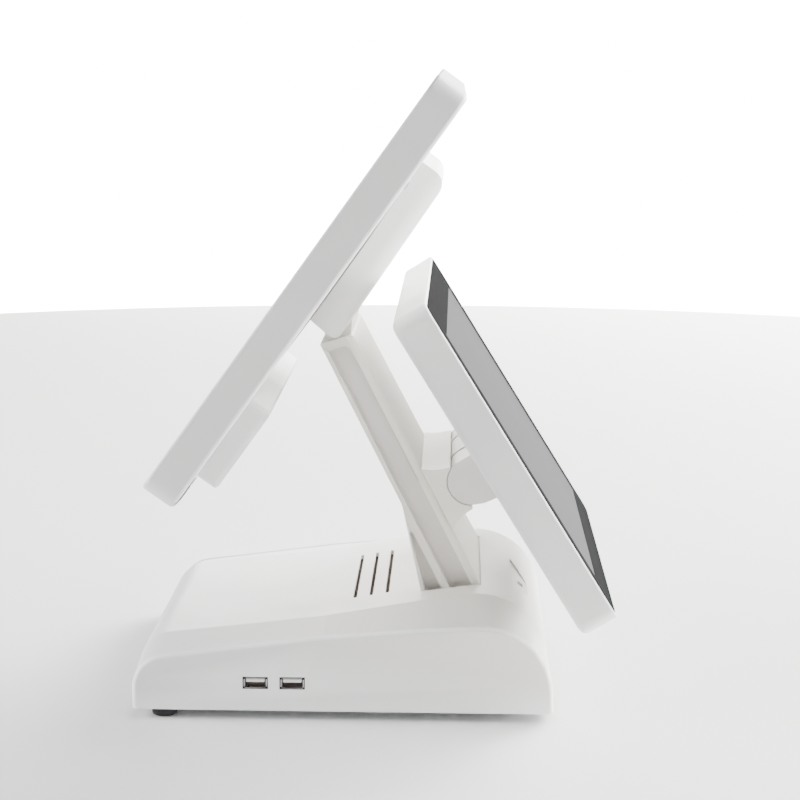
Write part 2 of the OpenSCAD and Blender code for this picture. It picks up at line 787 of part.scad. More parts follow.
// Side outline of the neck, drawn in by i
module neck_side(i) {
    translate(main_axis) circle(r = neck_r - i);
    polygon([
        main_axis + [-neck_r + i, 0.5], main_axis + [neck_r - i, 0.5],
        [neck_back - i, arm_top_z(neck_back) + 0.1 - 2 * i],
        [neck_front + i, arm_top_z(neck_front) + 0.1 - 2 * i]]);
}

module neck_cover() {
    color("whitesmoke") on_base() difference() {
        across(neck_w) neck_side(0);
        across(neck_w - 2 * neck_wall) neck_side(neck_wall);
        translate([0, main_axis[0], main_axis[1]]) rod(-neck_w, neck_w, shaft_d / 2 + gap);
    }
}

module tilt_yoke() {
    foot_z = arm_front[1] - 16;
    color("silver") on_base() {
        for (s = [-1, 1]) translate([s * (ear_x + ear_t / 2), 0, 0]) across(ear_t) difference() {
            union() {
                translate(main_axis) circle(r = ear_r);
                polygon([main_axis - [ear_r, 0], main_axis + [ear_r, 0],
                    [neck_back - neck_wall - 2.4, arm_front[1] + 2],
                    arm_at_z(foot_z, spine_d0 - 0.02), arm_at_z(foot_z, ear_d)]);
            }
            translate(main_axis) circle(r = shaft_d / 2 + run);
        }
        across(2 * (ear_x + ear_t)) arm_strip(ear_d, spine_d0 - 0.02, foot_z - 14, foot_z + 2);
    }
}
// Depth of the yoke's web behind the arm's front edge
ear_d = 3.4;

module tilt_shaft() {
    color("gray") on_main() rod(-leaf_x - ear_t - 6, leaf_x + ear_t + 6, shaft_d / 2);
}

module tilt_washers() {
    color("goldenrod") on_main() mirrored() difference() {
        translate([washer_x, 0, 0]) rod(0, 2, leaf_r);
        rod(0, 60, shaft_d / 2 + run);
    }
}

module tilt_nuts() {
    color("silver") on_main() mirrored() difference() {
        translate([leaf_x + ear_t, 0, 0]) rotate([0, 90, 0]) cylinder(h = 5, r = leaf_r, $fn = 6);
        rod(0, 60, shaft_d / 2 + run);
    }
}

leaf_back = main_back + 0.3;

module tilt_leaves() {
    color("silver") on_main() mirrored() difference() {
        union() {
            translate([leaf_x, 0, 0]) rod(0, ear_t, leaf_r);
            translate([leaf_x, 0, 0]) rotate([90, 0, 90]) linear_extrude(ear_t)
                polygon([[leaf_back, -2], [0, -leaf_r], [leaf_r, 0], [leaf_back + 4, 40], [leaf_back, 64]]);
            translate([leaf_x, leaf_back, -2]) cube([16, 2.2, 66]);
        }
        rod(0, 60, shaft_d / 2 + run);
        for (z = [20, 52]) translate([leaf_x + 10, leaf_back - 1, z]) rotate([-90, 0, 0])
            cylinder(h = 5, d = 4, $fn = 24);
    }
}

// ---- main display ----

// Exact slab with its front at y = 0 and its back at y = t: plan corners of radius r,
// front edges rounded by f and back edges by e
module soft_slab(w, h, t, r, f, e) {
    rotate([-90, 0, 0]) {
        translate([-w / 2 + r, -h / 2 + r, 0]) cube([w - 2 * r, h - 2 * r, t]);
        for (sx = [-1, 1], sy = [-1, 1]) translate([sx * (w / 2 - r), sy * (h / 2 - r), 0])
            rotate_extrude() edge_profile(t, r, f, e);
        for (sx = [-1, 1]) translate([sx * (w / 2 - r), h / 2 - r, 0]) rotate([90, 0, 0])
            linear_extrude(h - 2 * r) mirror([sx < 0 ? 1 : 0, 0]) edge_profile(t, r, f, e);
        for (sy = [-1, 1]) translate([-w / 2 + r, sy * (h / 2 - r), 0]) rotate([90, 0, 90])
            linear_extrude(w - 2 * r) mirror([sy < 0 ? 1 : 0, 0]) edge_profile(t, r, f, e);
    }
}

module edge_profile(t, r, f, e) {
    translate([0, f]) square([r, t - f - e]);
    square([r - f, f + 0.01]);
    translate([0, t - e - 0.01]) square([r - e, e + 0.01]);
    intersection() {
        translate([r - f, f]) circle(r = f);
        square([r, t]);
    }
    intersection() {
        translate([r - e, t - e]) circle(r = e);
        square([r, t]);
    }
}

// Plate with round corners, centred, from y0 to y1
module flat_plate(w, h, r, y0, y1) {
    along(y0, y1) {
        square([w - 2 * r, h], center = true);
        square([w, h - 2 * r], center = true);
        for (sx = [-1, 1], sy = [-1, 1]) translate([sx * (w / 2 - r), sy * (h / 2 - r)]) circle(r = r);
    }
}

glass_w = main_w - 2 * main_rim;
glass_h = main_h - 2 * main_rim;
back_open = [main_w - 20, 212];
back_open_z = main_lo + 4 + back_open[1] / 2;

module main_frame() {
    color("whitesmoke") on_main() difference() {
        translate([0, main_front, main_mid]) soft_slab(main_w, main_h, main_t, main_corner_r, 1.6, 2.4);
        // room for the glass
        translate([0, 0, main_mid]) flat_plate(glass_w + gap, glass_h + gap, main_corner_r - main_rim,
            main_front - 2, main_front + glass_t + gap / 2);
        // hollow behind the glass
        translate([0, 0, main_mid]) flat_plate(glass_w - 10, glass_h - 10, main_corner_r - main_rim - 3,
            main_front + 1, main_back - main_wall);
        // opening for the back cover
        translate([0, 0, back_open_z]) flat_plate(back_open[0], back_open[1], 8, main_front + 6, 20);
    }
}

module main_glass() {
    color([0.05, 0.05, 0.06]) on_main() translate([0, 0, main_mid])
        flat_plate(glass_w, glass_h, main_corner_r - main_rim, main_front, main_front + glass_t);
}

panel = [glass_w - 20, 6, glass_h - 13.5];

module main_panel() {
    color("gray") on_main() translate([-panel[0] / 2, main_front + glass_t + gap, main_mid - panel[2] / 2])
        cube(panel);
}

// Dark rubber strips that seal the back cover's sides and stand a little proud of the edge
module main_back_seal() {
    color([0.15, 0.15, 0.15]) on_main() for (sx = [-1, 1], z = [[main_lo + 3.5, 18], [main_lo + 99, 98]])
        translate([sx * (main_w / 2 - 4.2), 0, z[0]]) translate([-1, 0, 0]) rotate([90, 0, 90]) linear_extrude(2)
            polygon([[main_back, 0], [main_back + 0.1, 0], [main_back + 0.8, z[1] * 0.3],
                [main_back + 0.8, z[1] * 0.7], [main_back + 0.1, z[1]], [main_back, z[1]]]);
}

module main_back_cover() {
    color("whitesmoke") on_main() difference() {
        translate([0, 0, back_open_z]) flat_plate(back_open[0] - 2 * seam, back_open[1] - 2 * seam, 8 - seam,
            main_back - 2, main_back);
        for (sx = [-1, 1], sz = [-1, 1])
            translate([sx * cover_screw_x, main_back - 3, back_open_z + sz * cover_screw_z]) rotate([-90, 0, 0])
                cylinder(h = 4, d = 3.4, $fn = 24);
    }
}
cover_screw_x = back_open[0] / 2 - 12;
cover_screw_z = back_open[1] / 2 - 12;

// A housing on the display's back, from y0 back to y1, with rounded side, top and lower rear edges
module rear_box(w, z0, z1, y0, y1, y2, side_r, top_r, low_r, drop = 0) {
    intersection() {
        across(w) polygon(outline([[y0, z0, 0], [y1, z0 - drop, low_r], [y2, z1, top_r], [y0, z1, 0]]));
        translate([0, 0, z0 - drop - 1]) linear_extrude(z1 - z0 + drop + 2)
            polygon(outline([[-w / 2, y0 - 1, 0], [w / 2, y0 - 1, 0], [w / 2, y1, side_r], [-w / 2, y1, side_r]]));
    }
}

box_wall = 2;

module hinge_housing() {
    z0 = hinge_box_lo;
    z1 = hinge_box_lo + hinge_box_h;
    y0 = main_back + 0.2;
    color("whitesmoke") on_main() difference() {
        rear_box(hinge_box_w, z0, z1, y0, hinge_box_back, hinge_box_top_back, 12, 9, 3.5, 2);
        rear_box(hinge_box_w - 2 * box_wall, z0 + box_wall, z1 - box_wall, y0 - 1,
            hinge_box_back - box_wall, hinge_box_top_back - box_wall, 10, 7, 1.5, 2);
        // mouth for the neck, open at the lower rear edge
        rod(-neck_w / 2 - 1, neck_w / 2 + 1, neck_r + 0.8);
        translate([-neck_w / 2 - 1, -neck_r - 0.8, z0 - 5]) cube([neck_w + 2, 40, 5 - z0]);
    }
}

module lower_housing() {
    z0 = low_box_lo;
    z1 = low_box_lo + low_box_h;
    y0 = main_back + 0.2;
    color("whitesmoke") on_main() difference() {
        intersection() {
            rear_box(low_box_w, z0, z1, y0, low_box_back, low_box_back, 4, 3, 3.5);
            translate([0, 0, (z0 + z1) / 2]) flat_plate(low_box_w, low_box_h, 5, y0 - 1, 20);
        }
        rear_box(low_box_w - 2 * box_wall - 1, z0 + box_wall, z1 - box_wall, y0 - 1,
            low_box_back - box_wall, low_box_back - box_wall, 3, 1, 1.1);
    }
}

module panel_driver_board() {
    color("darkgreen") on_main() translate([-60, main_back + 3, low_box_lo + 8]) cube([120, 1.6, 34]);
    color("darkgreen") on_main() translate([-50, main_back + 4.5, low_box_lo + 12]) cube([40, 4, 10]);
    color("darkgreen") on_main() for (x = [-54, 54], z = [12, 38])
        translate([x, main_back, low_box_lo + z]) rotate([-90, 0, 0]) cylinder(h = 3.1, d = 5);
}

module main_screws() {
    color("silver") on_main() for (sx = [-1, 1], sz = [-1, 1])
        translate([sx * cover_screw_x, main_back, back_open_z + sz * cover_screw_z]) rotate([-90, 0, 0]) {
            cylinder(h = 1.2, d = 5.6);
            translate([0, 0, -6]) cylinder(h = 6.01, d = 3, $fn = 24);
        }
}

// ---- customer display ----

cradle_w = barrel_w + 1;
cup_r = barrel_r + gap;
yoke_x = 21.6;
yoke_t = 3.6;
yoke_r = 7;
// Foot of the perpendicular from the customer hinge axis to the arm's rear face
seat_n = [sin(arm_angle), cos(arm_angle)];
cradle_seat = cust_axis - ((cust_axis - arm_at_z(0, arm_t)) * seat_n) * seat_n;

module cradle_side() {
    top = arm_at_z(cradle_seat[1] + 17.4, arm_t + 0.1);
    low = arm_at_z(cradle_seat[1] - 18, arm_t + 0.1);
    tip_top = cust_axis + (cup_r + 0.8) * [cos(146), sin(146)];
    tip_low = cust_axis + (cup_r + 2) * [cos(-87), sin(-87)];
    difference() {
        polygon(concat(
            [top],
            [for (k = [1:7]) let (t = k / 8) (1 - t) * top + t * tip_top - [0, 0.9 * sin(180 * t)]],
            [tip_top, cust_axis, tip_low],
            [for (k = [1:7]) let (t = k / 8) (1 - t) * tip_low + t * low + 1.5 * sin(180 * t) * [-0.7, 0.6]],
            [low]));
        translate(cust_axis) circle(r = cup_r);
    }
}

module customer_cradle() {
    color("whitesmoke") on_base() difference() {
        across(cradle_w) cradle_side();
        for (s = [-1, 1]) translate([s * yoke_x, cust_axis[0], cust_axis[1]])
            rotate([90 - arm_angle, 0, 0]) translate([-yoke_t / 2 - gap / 2, -60, -yoke_r - gap])
                cube([yoke_t + gap, 60, 2 * (yoke_r + gap)]);
        // small relief in the lip
        translate([8, cust_axis[0], cust_axis[1]]) rotate([142, 0, 0]) translate([-1.2, cup_r - 1, -2])
            cube([2.4, 2.4, 2.6]);
    }
}

module customer_yoke() {
    d0 = spine_back + 0.01;
    color("silver") on_base() {
        for (s = [-1, 1]) translate([s * yoke_x, 0, 0]) across(yoke_t) difference() {
            union() {
                translate(cust_axis) circle(r = yoke_r);
                intersection() {
                    translate(cust_axis) rotate(90 - arm_angle) translate([-60, -yoke_r + 0.5])
                        square([60, 2 * yoke_r - 1]);
                    arm_strip(d0, 120);
                }
            }
            translate(cust_axis) circle(r = shaft_d / 2 + run);
        }
        across(2 * yoke_x + yoke_t + 4) arm_strip(d0, d0 + 2.5, cradle_seat[1] - 16, cradle_seat[1] + 20);
    }
}

// The shaft stops short of the knuckle's closed ends
cap_t = 6;

module customer_shaft() {
    color("gray") on_cust() rod(-barrel_w / 2 + cap_t, barrel_w / 2 - cap_t, shaft_d / 2);
}

module customer_knuckle() {
    y1 = cust_back - 0.02;
    color("whitesmoke") on_cust() difference() {
        union() {
            rod(-barrel_w / 2, barrel_w / 2, barrel_r);
            across(barrel_w) polygon(outline([
                [0, barrel_r, 0], [y1 - 3, barrel_r, 3], [y1, barrel_r + 2, 0], [y1, -barrel_r - 3, 0],
                [-0.8, -barrel_r - 0.9, 8], [barrel_r * cos(-122), barrel_r * sin(-122), 0]], 5));
        }
        rod(-barrel_w / 2 + cap_t, barrel_w / 2 - cap_t, shaft_d / 2);
        cust_screw_holes();
        for (s = [-1, 1]) {
            translate([s * yoke_x - yoke_t / 2 - 0.3, -40, -40]) cube([yoke_t + 0.6, 40 + yoke_r + 1.4, 80]);
            // hooked seam of the end cap
            difference() {
                translate([s * (barrel_w / 2), -3.8, 0]) rotate([0, 0, s * 58]) translate([-0.35, -2, 0])
                    cube([0.7, 8, 30]);
                rod(-barrel_w, barrel_w, barrel_r - 0.8);
                translate([-barrel_w, -20, 0]) cube([2 * barrel_w, 40, barrel_r - 0.8]);
            }
        }
    }
}

cust_mid = cust_top - cust_h / 2;

cust_glass_w = cust_w - 2 * cust_rim;
cust_glass_h = cust_h - 2 * cust_rim;

module customer_housing() {
    color("whitesmoke") on_cust() difference() {
        translate([0, cust_front, cust_mid]) rotate([0, 0, 180])
            soft_slab(cust_w, cust_h, cust_t, cust_corner_r, cust_edge, 4);
        translate([0, 0, cust_mid]) flat_plate(cust_glass_w + gap, cust_glass_h + gap, cust_corner_r - cust_rim,
            cust_front - cust_glass_t - gap / 2, cust_front + 2);
        translate([0, 0, cust_mid]) flat_plate(cust_glass_w - 8, cust_glass_h - 8, 4,
            cust_back + cust_wall, cust_front - 1);
        cust_screw_holes();
    }
}

module customer_glass() {
    color([0.05, 0.05, 0.06]) on_cust() translate([0, 0, cust_mid])
        flat_plate(cust_glass_w, cust_glass_h, cust_corner_r - cust_rim, cust_front - cust_glass_t, cust_front - 0.1);
}

cust_panel = [cust_glass_w - 13, 5, cust_glass_h - 20.6];

module customer_panel() {
    color("gray") on_cust() translate([-cust_panel[0] / 2,
            cust_front - cust_glass_t - gap - cust_panel[1], cust_mid - cust_panel[2] / 2])
        cube(cust_panel);
}

module customer_board() {
    color("darkgreen") on_cust() {
        translate([-50, cust_back + cust_wall + 3, cust_mid - 30]) cube([100, 1.6, 60]);
        for (x = [-44, 44], z = [-24, 24])
            translate([x, cust_back + cust_wall, cust_mid + z]) rotate([-90, 0, 0]) cylinder(h = 3.1, d = 5);
    }
}

module customer_screws() {
    color("silver") on_cust() for (x = [-34, 34], z = [-8, 8])
        translate([x, cust_back + cust_wall, z]) rotate([-90, 0, 0]) {
            cylinder(h = 1.8, d = 6);
            translate([0, 0, -8]) cylinder(h = 8.01, d = 3, $fn = 24);
        }
}

module cust_screw_holes() {
    for (x = [-34, 34], z = [-8, 8])
        translate([x, cust_back + cust_wall - 8.5, z]) rotate([-90, 0, 0]) cylinder(h = 10, d = 3, $fn = 24);
}

base_cover();
neck_collar();
bottom_plate();
rubber_feet();
base_screws();
mainboard();
board_standoffs();
heat_sink();
solid_state_drive();
speaker();
side_usb_shells();
side_usb_tongues();
io_board();
io_bracket();
network_jack();
rear_usb_stack();
video_port();
serial_port();
drawer_jack();
power_inlet();
power_button();
power_switch();
arm_foot_bracket();
arm_spine();
arm_shell();
arm_rear_cover();
arm_screws();
neck_cover();
tilt_yoke();
tilt_shaft();
tilt_washers();
tilt_nuts();
tilt_leaves();
main_frame();
main_glass();
main_panel();
main_back_seal();
main_back_cover();
hinge_housing();
lower_housing();
panel_driver_board();
main_screws();
customer_cradle();
customer_yoke();
customer_shaft();
customer_knuckle();
customer_housing();
customer_glass();
customer_panel();
customer_board();
customer_screws();
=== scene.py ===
import json
import math

import bmesh
import bpy
from mathutils import Matrix, Vector


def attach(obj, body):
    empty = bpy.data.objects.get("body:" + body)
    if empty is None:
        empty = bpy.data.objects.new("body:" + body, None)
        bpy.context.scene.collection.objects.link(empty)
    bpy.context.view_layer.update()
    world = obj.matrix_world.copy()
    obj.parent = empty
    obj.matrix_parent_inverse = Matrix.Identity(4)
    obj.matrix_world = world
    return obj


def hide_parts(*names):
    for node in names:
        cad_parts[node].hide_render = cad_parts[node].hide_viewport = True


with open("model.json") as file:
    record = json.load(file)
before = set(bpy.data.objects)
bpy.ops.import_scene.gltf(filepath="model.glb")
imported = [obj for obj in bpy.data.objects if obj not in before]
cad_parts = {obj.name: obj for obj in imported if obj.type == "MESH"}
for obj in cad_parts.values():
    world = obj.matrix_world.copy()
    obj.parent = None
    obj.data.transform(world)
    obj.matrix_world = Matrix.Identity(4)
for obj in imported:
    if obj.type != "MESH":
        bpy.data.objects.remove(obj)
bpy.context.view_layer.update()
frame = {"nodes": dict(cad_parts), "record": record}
nodes = frame["nodes"]
record = frame["record"]
scene = bpy.context.scene

# ---------------------------------------------------------------- camera
# The place and turn of the photograph's camera, solved from its perspective, in metres and radians.

CAM_AT = (1.0673342, 0.0454503, 0.3688605)
CAM_YAW, CAM_PITCH, CAM_ROLL = 0.0308556, 0.1894308, 0.0031209
LENS_MM, SENSOR_MM = 82.06, 36.0
CLIP_NEAR, CLIP_FAR = 0.05, 40.0


def make_camera():
    cy, sy = math.cos(CAM_YAW), math.sin(CAM_YAW)
    cp, sp = math.cos(CAM_PITCH), math.sin(CAM_PITCH)
    forward = Vector((-cp * cy, -cp * sy, -sp))
    level_right = forward.cross(Vector((0, 0, 1))).normalized()
    level_up = level_right.cross(forward)
    c, s = math.cos(CAM_ROLL), math.sin(CAM_ROLL)
    right, up = level_right * c + level_up * s, level_up * c - level_right * s
    data = bpy.data.cameras.new("camera")
    data.lens, data.sensor_width = LENS_MM, SENSOR_MM
    data.clip_start, data.clip_end = CLIP_NEAR, CLIP_FAR
    cam = bpy.data.objects.new("camera", data)
    scene.collection.objects.link(cam)
    m = Matrix.Identity(4)
    for i in range(3):
        m[i][0], m[i][1], m[i][2], m[i][3] = right[i], up[i], -forward[i], CAM_AT[i]
    cam.matrix_world = m
    scene.camera = cam


make_camera()

# ---------------------------------------------------------------- materials
# Noise scales are per metre, bump depths in metres.

PLASTIC_ROUGH = 0.42
PLASTIC_DEPTH, METAL_DEPTH, BOARD_DEPTH, GLASS_DEPTH = 0.00012, 0.00005, 0.0001, 0.0001

WHITE = (0.80, 0.80, 0.795)
# A darker copy of the white plastic: painted shade on the display housings
PALE_GREY_PAINTED_SHADE = (0.735, 0.735, 0.732)
# A darker, warmer copy of the white plastic: painted shade in the arm's side pockets and on the
# knuckle
ARM_WHITE_PAINTED_SHADE = (0.77, 0.735, 0.70)
# A lighter, yellower copy of the white plastic: an ivory tint, and painted light on the arm's rims,
# the neck and the customer cradle
IVORY_AND_PAINTED_LIGHT = (0.88, 0.86, 0.79)
# A lighter copy of the white plastic: painted light on the arm's rear cover
ARM_BACK_PAINTED_LIGHT = (0.94, 0.925, 0.845)
# A lighter copy of the white plastic: painted light on the hinge housing
HINGE_WHITE_PAINTED_LIGHT = (0.87, 0.86, 0.845)
BACK_GREY = (0.66, 0.66, 0.655)
# Painted shade on the base round the arm's foot, strongest nearest it
ARM_FOOT_PAINTED_SHADE = (0.80, 0.785, 0.735)
ARM_FOOT_PAINTED_HALF_SHADE = (0.80, 0.785, 0.755)
# Painted highlight along the base's rolled flank edges
FLANK_PAINTED_HIGHLIGHT = (0.97, 0.97, 0.96)


class Shader:
    """A Principled material with helpers that add its nodes."""

    def __init__(self, name, color, rough, metal=0.0, spec=0.5):
        self.mat = bpy.data.materials.new(name)
        self.mat.use_nodes = True
        self.nt = self.mat.node_tree
        self.bsdf = self.nt.nodes["Principled BSDF"]
        self.color, self.rough = color, rough
        self.set("Base Color", (*color, 1.0))
        self.set("Roughness", rough)
        self.set("Metallic", metal)
        self.set("Specular IOR Level", spec)
        self.coord = self.node("ShaderNodeTexCoord").outputs["Object"]

    def node(self, kind, **props):
        n = self.nt.nodes.new(kind)
        for k, v in props.items():
            setattr(n, k, v)
        return n

    def set(self, name, value):
        self.bsdf.inputs[name].default_value = value

    def link(self, a, b):
        self.nt.links.new(a, b)

    def noise(self, scale, detail=2.0, rough=0.5, squash=(1, 1, 1)):
        """Noise of the object's own coordinates; squash below 1 draws it out along that axis."""
        n = self.node("ShaderNodeTexNoise")
        n.inputs["Scale"].default_value = scale
        n.inputs["Detail"].default_value = detail
        n.inputs["Roughness"].default_value = rough
        if squash == (1, 1, 1):
            self.link(self.coord, n.inputs["Vector"])
        else:
            m = self.node("ShaderNodeMapping")
            m.inputs["Scale"].default_value = squash
            self.link(self.coord, m.inputs["Vector"])
            self.link(m.outputs["Vector"], n.inputs["Vector"])
        return n.outputs["Fac"]

    def ramp(self, fac, stops):
        """Colour ramp; stops are (position, colour), from the lowest position up."""
        r = self.node("ShaderNodeValToRGB")
        first, last = r.color_ramp.elements
        first.position, first.color = stops[0][0], (*stops[0][1], 1)
        last.position, last.color = stops[-1][0], (*stops[-1][1], 1)
        for position, color in stops[1:-1]:
            r.color_ramp.elements.new(position).color = (*color, 1)
        self.link(fac, r.inputs["Fac"])
        return r.outputs["Color"]

    def span(self, fac, lo, hi, to_lo, to_hi):
        """Maps lo..hi to to_lo..to_hi."""
        m = self.node("ShaderNodeMapRange")
        limits = (("From Min", lo), ("From Max", hi), ("To Min", to_lo), ("To Max", to_hi))
        for name, value in limits:
            m.inputs[name].default_value = value
        self.link(fac, m.inputs["Value"])
        return m.outputs["Result"]

    def bump(self, height, strength, depth):
        """Adds a bump on top of those that are already there."""
        b = self.node("ShaderNodeBump")
        b.inputs["Strength"].default_value = strength
        b.inputs["Distance"].default_value = depth
        self.link(height, b.inputs["Height"])
        if self.bsdf.inputs["Normal"].is_linked:
            self.link(self.bsdf.inputs["Normal"].links[0].from_socket, b.inputs["Normal"])
        self.link(b.outputs["Normal"], self.bsdf.inputs["Normal"])

    def vary(self, scale, amount, warm=0.0):
        """Slow cloudy variation of the colour, and of its warmth."""
        red, green, blue = self.color
        dark = tuple(v * (1 - amount) for v in self.color)
        light = (min(1, red * (1 + amount)), min(1, green * (1 + amount)),
                 min(1, blue * (1 + amount - warm)))
        cloud = self.ramp(self.noise(scale, detail=3), [(0.3, dark), (0.7, light)])
        self.link(cloud, self.bsdf.inputs["Base Color"])

    def rough_vary(self, scale, amount):
        """Slow variation of the gloss."""
        cloud = self.noise(scale, detail=3)
        rough = self.span(cloud, 0.3, 0.7, self.rough - amount, self.rough + amount)
        self.link(rough, self.bsdf.inputs["Roughness"])


def moulded(name, color, rough=PLASTIC_ROUGH, grain=2200.0, strength=0.12, warm=0.01):
    """Moulded plastic: a spark-eroded micro texture, faint flow variation, uneven gloss."""
    s = Shader(name, color, rough, spec=0.42)
    s.vary(scale=9.0, amount=0.012, warm=warm)
    s.rough_vary(scale=35.0, amount=0.05)
    s.bump(s.noise(grain, detail=3, rough=0.6), strength, PLASTIC_DEPTH)
    s.bump(s.noise(scale=160.0), 0.10, PLASTIC_DEPTH)
    return s


def base_material():
    """The base's white plastic, with painted shade round the arm's foot and a painted highlight on
    its flank edges.
    """
    # Painted shade round the arm's foot: darker and warmer towards a point beside it, plain white
    # further off
    shade_centre, shade_from, shade_to = (0.06, 0.075, 0.065), 0.03, 0.16
    s = moulded("base_plastic", WHITE)
    away = s.node("ShaderNodeVectorMath", operation="DISTANCE")
    s.link(s.coord, away.inputs[0])
    away.inputs[1].default_value = shade_centre
    warm = s.ramp(s.span(away.outputs["Value"], shade_from, shade_to, 0.0, 1.0),
                  [(0.0, ARM_FOOT_PAINTED_SHADE), (0.45, ARM_FOOT_PAINTED_HALF_SHADE), (1.0, WHITE)])
    cloud = s.ramp(s.noise(scale=9.0, detail=3), [(0.3, (0.985,) * 3), (0.7, (1.0,) * 3)])
    clouded = s.node("ShaderNodeMix", data_type="RGBA", blend_type="MULTIPLY")
    clouded.inputs["Factor"].default_value = 1.0
    s.link(warm, clouded.inputs[6])
    s.link(cloud, clouded.inputs[7])
    # Painted highlight: the marked rolled flank edges take a lighter colour
    edge = s.node("ShaderNodeAttribute", attribute_name="edge", attribute_type="GEOMETRY")
    edged = s.node("ShaderNodeMix", data_type="RGBA")
    edged.inputs[7].default_value = (*FLANK_PAINTED_HIGHLIGHT, 1.0)
    s.link(edge.outputs["Fac"], edged.inputs["Factor"])
    s.link(clouded.outputs[2], edged.inputs[6])
    s.link(edged.outputs[2], s.bsdf.inputs["Base Color"])
    return s.mat


def metal(name, color, rough, squash=(1, 1, 1)):
    """Bare or plated metal, brushed along the axis that squash draws out."""
    s = Shader(name, color, rough, metal=1.0)
    s.vary(scale=40.0, amount=0.05)
    s.rough_vary(scale=220.0, amount=0.08)
    s.bump(s.noise(scale=900.0, detail=3, rough=0.6, squash=squash), 0.15, METAL_DEPTH)
    return s.mat


def board():
    """Green solder mask with lighter tracks between the cells of a Voronoi pattern."""
    track, mask = (0.05, 0.24, 0.10), (0.018, 0.11, 0.045)
    s = Shader("circuit_board", (0.02, 0.12, 0.05), 0.38)
    v = s.node("ShaderNodeTexVoronoi", feature="DISTANCE_TO_EDGE")
    v.inputs["Scale"].default_value = 140.0
    s.link(s.coord, v.inputs["Vector"])
    s.link(s.ramp(v.outputs["Distance"], [(0.03, track), (0.07, mask)]),
           s.bsdf.inputs["Base Color"])
    s.bump(v.outputs["Distance"], 0.15, BOARD_DEPTH)
    return s.mat


def glass_material(name, color):
    """Matt anti-glare glass, with no specular part: the photograph shows it dark edge-on."""
    s = Shader(name, color, 0.34, spec=0.0)
    s.vary(scale=14.0, amount=0.015)
    s.rough_vary(scale=18.0, amount=0.03)
    s.bump(s.noise(scale=30.0, detail=1), 0.02, GLASS_DEPTH)
    return s.mat


mat = {
    "white": moulded("white_plastic", WHITE).mat,
    # Darker copy of the white plastic: painted shade on the display housings
    "display_white_painted_shade": moulded("display_plastic_painted_shade", PALE_GREY_PAINTED_SHADE).mat,
    # Darker copy of the white plastic: painted shade in the arm's pockets and on the knuckle
    "arm_white_painted_shade": moulded("arm_plastic_painted_shade", ARM_WHITE_PAINTED_SHADE, warm=0.02).mat,
    # Ivory tint and painted light on the arm's rims, the neck and the cradle
    "ivory_and_painted_light": moulded("ivory_plastic_and_painted_light", IVORY_AND_PAINTED_LIGHT, warm=0.02).mat,
    # Lighter copy of the white plastic: painted light on the arm's rear cover
    "arm_back_painted_light": moulded("arm_back_plastic_painted_light", ARM_BACK_PAINTED_LIGHT, warm=0.02).mat,
    # Lighter copy of the white plastic: painted light on the hinge housing
    "hinge_painted_light": moulded("hinge_plastic_painted_light", HINGE_WHITE_PAINTED_LIGHT).mat,
    "back_white": moulded("back_plastic", BACK_GREY, 0.55, 1500.0, 0.3).mat,
    "base_white": base_material(),
    "black_plastic": moulded("black_plastic", (0.018, 0.018, 0.02), 0.45).mat,
    "blue_plastic": moulded("blue_plastic", (0.02, 0.07, 0.42), 0.4).mat,
    "seal": moulded("grey_seal", (0.20, 0.185, 0.165), 0.7, 1400.0, 0.3).mat,
    "rubber": moulded("black_rubber", (0.02, 0.02, 0.02), 0.75, 1400.0, 0.3).mat,
    "dust_screen": moulded("dust_screen", (0.07, 0.048, 0.036), 0.8, 900.0, 0.4).mat,
    "port_dark": moulded("port_dark", (0.035, 0.018, 0.014), 0.5).mat,
    "port_white": moulded("port_tongue", (0.82, 0.80, 0.78), 0.4).mat,
    "steel": metal("zinc_steel", (0.56, 0.57, 0.58), 0.34, (1, 0.05, 1)),
    "aluminium": metal("aluminium", (0.68, 0.69, 0.70), 0.36, (0.05, 1, 1)),
    "brass": metal("brass", (0.72, 0.52, 0.22), 0.3),
    "board": board(),
    "border_glass": glass_material("screen_glass_border", (0.0175, 0.0175, 0.0178)),
    "display_area": glass_material("screen_display_area", (0.087, 0.087, 0.0905)),
}

# The material of each slot in the record, and of the nodes that differ from their slot's; the arm,
# neck, cradle, knuckle, hinge housing and display housings get lighter or darker copies of the
# white plastic, which paint light and shade on them
SLOT = {
    "white_plastic": "white", "black_rubber": "rubber", "zinc_steel": "steel",
    "black_plastic": "black_plastic", "green_board": "board", "brass": "brass",
    "aluminium": "aluminium", "blue_plastic": "blue_plastic", "screen_glass": "black_plastic",
    "lcd_panel": "black_plastic",
}
SHADE = {
    "arm_shell": "arm_white_painted_shade", "arm_rear_cover": "arm_back_painted_light", "neck_cover": "ivory_and_painted_light",
    "customer_cradle": "ivory_and_painted_light", "customer_knuckle": "arm_white_painted_shade", "main_back_seal": "seal",
    "hinge_housing": "hinge_painted_light", "main_back_cover": "back_white",
    "main_frame": "display_white_painted_shade", "customer_housing": "display_white_painted_shade",
}
slot_of = {s["node"]: s["material_slot"] for s in record["subparts"]}

# ---------------------------------------------------------------- CAD nodes

# Radius of the softened edges in millimetres; other nodes keep sharp edges
SOFT_EDGE = {
    "arm_shell": 0.9, "arm_rear_cover": 0.6, "neck_cover": 0.7,
    "main_frame": 0.4, "main_back_cover": 0.3, "hinge_housing": 0.7, "lower_housing": 0.7,
    "customer_cradle": 0.5, "customer_knuckle": 0.4, "customer_housing": 0.4,
    "power_button": 0.4,
}
WELD_M = 0.000002
SHARP_ANGLE = math.radians(32)

# The arm's width at its foot and its top, and their heights over the base's underside, in
# millimetres, as in the CAD source. The depth of the skin allows for the feet's height too.
ARM_FOOT_W, ARM_TOP_W = 108.0, 88.0
ARM_FOOT_Z, ARM_TOP_Z = 62.3, 204.3
SKIN_DEPTH = 0.5


